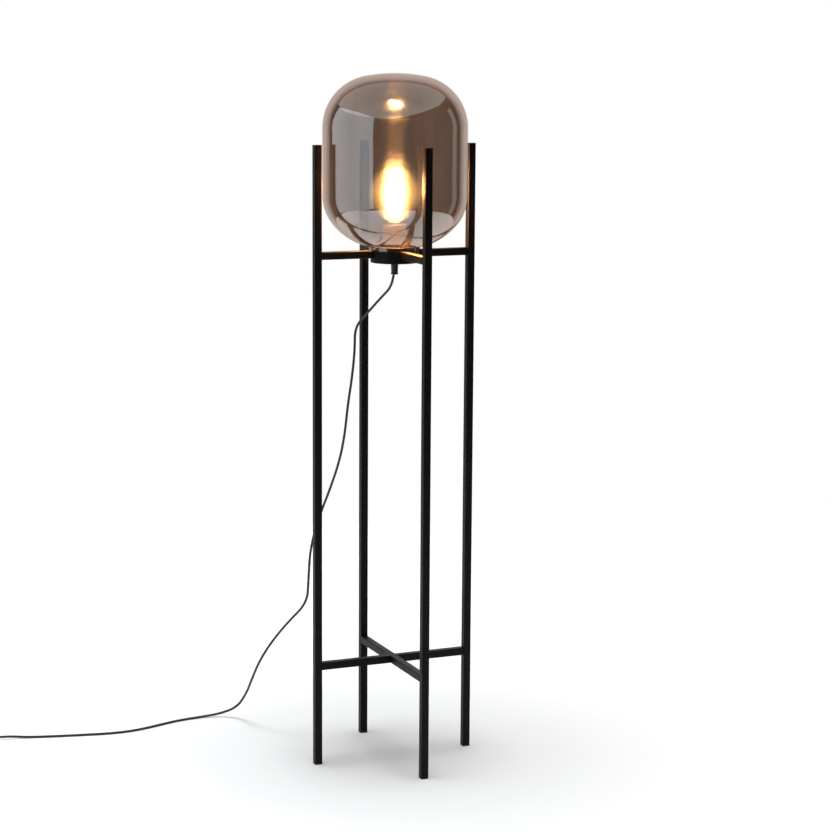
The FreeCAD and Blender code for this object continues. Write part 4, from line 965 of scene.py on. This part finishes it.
def make_painted_glow():
    """A painted glow in and round the lit globe: a volume that gives off warm light, seen directly
    and in mirrors but lighting no matt surface.
    """
    painted_glow = lathe("painted_bulb_glow", halo_profile())
    material, tree, shader = new_material("painted_bulb_glow")
    tree.nodes.remove(shader)
    glow = tree.nodes.new("ShaderNodeEmission")
    glow.inputs["Color"].default_value = (*GLOW_COLOUR, 1)
    link(tree, painted_glow_strength(tree), glow.inputs["Strength"])
    link(tree, glow.outputs[0], tree.nodes["Material Output"].inputs["Volume"])
    painted_glow.data.materials.append(material)
    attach(painted_glow, "bulb")


def make_bulb_lights():
    """One lamp that lights matt surfaces, and four that glass and metal mirror."""
    lamps = [(ORIGIN, MATT_POWER, False)]
    lamps += [(Vector(offset), SHINE_POWER, True) for offset in SHINE_PLACES]
    for offset, power, shiny in lamps:
        spot = FILAMENT_LEVEL * UP + offset
        lamp, data = add_light("bulb_light", "POINT", spot, ORIGIN, LAMP_COLOUR)
        data.energy = power
        data.shadow_soft_size = LAMP_SIZE
        lamp.visible_glossy = shiny
        lamp.visible_diffuse = not shiny


# Studio: where the light comes from, seen from the lamp and turned from the camera's side

TOWARD_CAMERA = Vector((CAMERA_PLACE.x, CAMERA_PLACE.y, 0)).normalized()
IMAGE_LEFT = Vector((-math.cos(CAMERA_TURN), -math.sin(CAMERA_TURN), 0))
DARK_ROOM = (0.05, 0.035, 0.03)
CEILING_LOW = (0.66, 0.65, 0.64)
CEILING_HIGH = (0.52, 0.51, 0.50)
CEILING_FADE = (0.45, 0.85)
BACK_WALL = WHITE
BACK_CEILING = (0.90, 0.86, 0.84)
CEILING_EDGE = math.radians(124)
ROOM_EDGE = math.radians(121.5)
ROOM_FADE = math.radians(145)
CEILING_START = math.radians(25)
RIGHT_WALL_RISE = 0.24
EDGE_SOFTNESS = 0.012
AMBIENT = (0.17, 0.17, 0.17)
SUNS = ((math.radians(15), 0.38), (math.radians(26), 0.42))
SUN_HEIGHT = 4
LEFT_SOFTBOX = {
    "degrees_left": 74,
    "distance": 2.0,
    "width": 3.4,
    "low": 0.05,
    "high": 2.42,
    "radiance": 1.04,
    "colour": (0.82, 0.93, 1.0),
}
RIGHT_SOFTBOX = {
    "degrees_left": -106,
    "distance": 2.2,
    "width": 0.42,
    "low": 0.05,
    "high": 2.35,
    "radiance": 0.36,
    "colour": (1.0, 0.97, 0.94),
}
FLOOR_RADIUS = 2.2
FLOOR_STEPS = 96
FLOOR_COLOUR = (0.86, 0.86, 0.86)
FLOOR_ROUGHNESS = 0.9
# The floor gives off little light near the lamp and more from a metre out: painted shade round the
# lamp's foot, over the real shadow
FLOOR_GLOW = (0.02, 0.25)
FLOOR_GLOW_REACH = (0.35, 1.0)


def room_direction(degrees_left):
    """A level direction, turned from the camera's side towards the left of the picture."""
    turn = math.radians(degrees_left)
    return TOWARD_CAMERA * math.cos(turn) + IMAGE_LEFT * math.sin(turn)


def step_at(tree, source, edge):
    """0 below an edge and 1 above it, with a narrow soft step."""
    return spread(tree, source, 0, 1, edge - EDGE_SOFTNESS, edge + EDGE_SOFTNESS)


def make_world():
    """White to the eye, plain soft light, and for reflections a dark room before a white backdrop."""
    world = bpy.data.worlds.new("studio")
    bpy.context.scene.world = world
    world.use_nodes = True
    tree = world.node_tree
    way = tree.nodes.new("ShaderNodeTexCoord").outputs["Generated"]
    along = measure(tree, "DOT_PRODUCT", way, TOWARD_CAMERA)
    height = measure(tree, "DOT_PRODUCT", way, UP)
    rightwards = compute(tree, "MAXIMUM", measure(tree, "DOT_PRODUCT", way, -IMAGE_LEFT), 0)
    in_room = spread(tree, along, 0, 1, math.cos(ROOM_FADE), math.cos(ROOM_EDGE))
    lit_side = step_at(tree, along, math.cos(CEILING_EDGE))
    wall_rise = compute(tree, "MULTIPLY", rightwards, RIGHT_WALL_RISE)
    lowered = compute(tree, "SUBTRACT", height, wall_rise)
    overhead = step_at(tree, lowered, math.sin(CEILING_START))
    high = spread(tree, height, 0, 1, *CEILING_FADE)
    ceiling = mix_colours(tree, high, CEILING_LOW, CEILING_HIGH)
    room = mix_colours(tree, compute(tree, "MULTIPLY", overhead, lit_side), DARK_ROOM, ceiling)
    behind = mix_colours(tree, overhead, BACK_WALL, BACK_CEILING)
    reflected = mix_colours(tree, in_room, behind, room)
    paths = light_paths(tree)
    seen = mix_colours(tree, paths["Is Glossy Ray"], AMBIENT, reflected)
    white = compute(tree, "MAXIMUM", paths["Is Camera Ray"], paths["Is Transmission Ray"])
    link(tree, mix_colours(tree, white, seen, WHITE), tree.nodes["Background"].inputs["Color"])


def add_light(name, kind, place, aim, colour=WHITE):
    """A light at a place, aimed at a point."""
    data = bpy.data.lights.new(name, kind)
    data.color = colour
    light = bpy.data.objects.new(name, data)
    light.location = place
    light.rotation_euler = (aim - place).to_track_quat("-Z", "Y").to_euler()
    light.visible_camera = False
    bpy.context.scene.collection.objects.link(light)
    return light, data


def add_panel(name, degrees_left, distance, width, low, high, radiance, colour):
    """An upright softbox beside the lamp, as bright to a mirror as its radiance says."""
    level = (low + high) / 2 * UP
    place = room_direction(degrees_left) * distance + level
    _, data = add_light(name, "AREA", place, level, colour)
    data.shape = "RECTANGLE"
    data.size = width
    data.size_y = high - low
    data.energy = radiance * math.pi * width * (high - low)


def make_lights():
    """A broad light from above, a large softbox on the left and a dim one on the right."""
    for angle, share in SUNS:
        sun, data = add_light("overhead", "SUN", SUN_HEIGHT * UP, ORIGIN)
        data.angle = angle
        data.energy = share * math.pi
        sun.visible_glossy = False
    add_panel("left_softbox", **LEFT_SOFTBOX)
    add_panel("right_softbox", **RIGHT_SOFTBOX)


def make_floor():
    """A white floor that keeps the lamp's shadow and meets the white background; it gives off less
    light near the lamp, a painted shade laid over the real shadow round the lamp's foot.
    """
    mesh = bpy.data.meshes.new("floor")
    form = bmesh.new()
    bmesh.ops.create_circle(form, cap_ends=True, segments=FLOOR_STEPS, radius=FLOOR_RADIUS)
    form.to_mesh(mesh)
    form.free()
    floor = bpy.data.objects.new("floor", mesh)
    bpy.context.scene.collection.objects.link(floor)
    material, tree, shader = new_material("studio_floor")
    shader.inputs["Base Color"].default_value = (*FLOOR_COLOUR, 1)
    shader.inputs["Roughness"].default_value = FLOOR_ROUGHNESS
    shader.inputs["Specular IOR Level"].default_value = 0
    shader.inputs["Emission Color"].default_value = (*WHITE, 1)
    paths = light_paths(tree)
    seen = compute(tree, "MAXIMUM", paths["Is Camera Ray"], paths["Is Glossy Ray"])
    # Painted shade: the floor's own light grows with the distance from the lamp
    from_lamp = measure(tree, "LENGTH", own_place(tree))
    outwards = spread(tree, from_lamp, *FLOOR_GLOW, *FLOOR_GLOW_REACH)
    link(tree, compute(tree, "MULTIPLY", seen, outwards), shader.inputs["Emission Strength"])
    mesh.materials.append(material)


make_camera()
make_cords()
dress_nodes()
make_painted_glow()
make_bulb_lights()
make_screws()
make_bulb_cap()
make_ties()
make_spring()
make_world()
make_lights()
make_floor()

scene = bpy.context.scene
scene.view_settings.view_transform = "Standard"
scene.cycles.transparent_max_bounces = 32
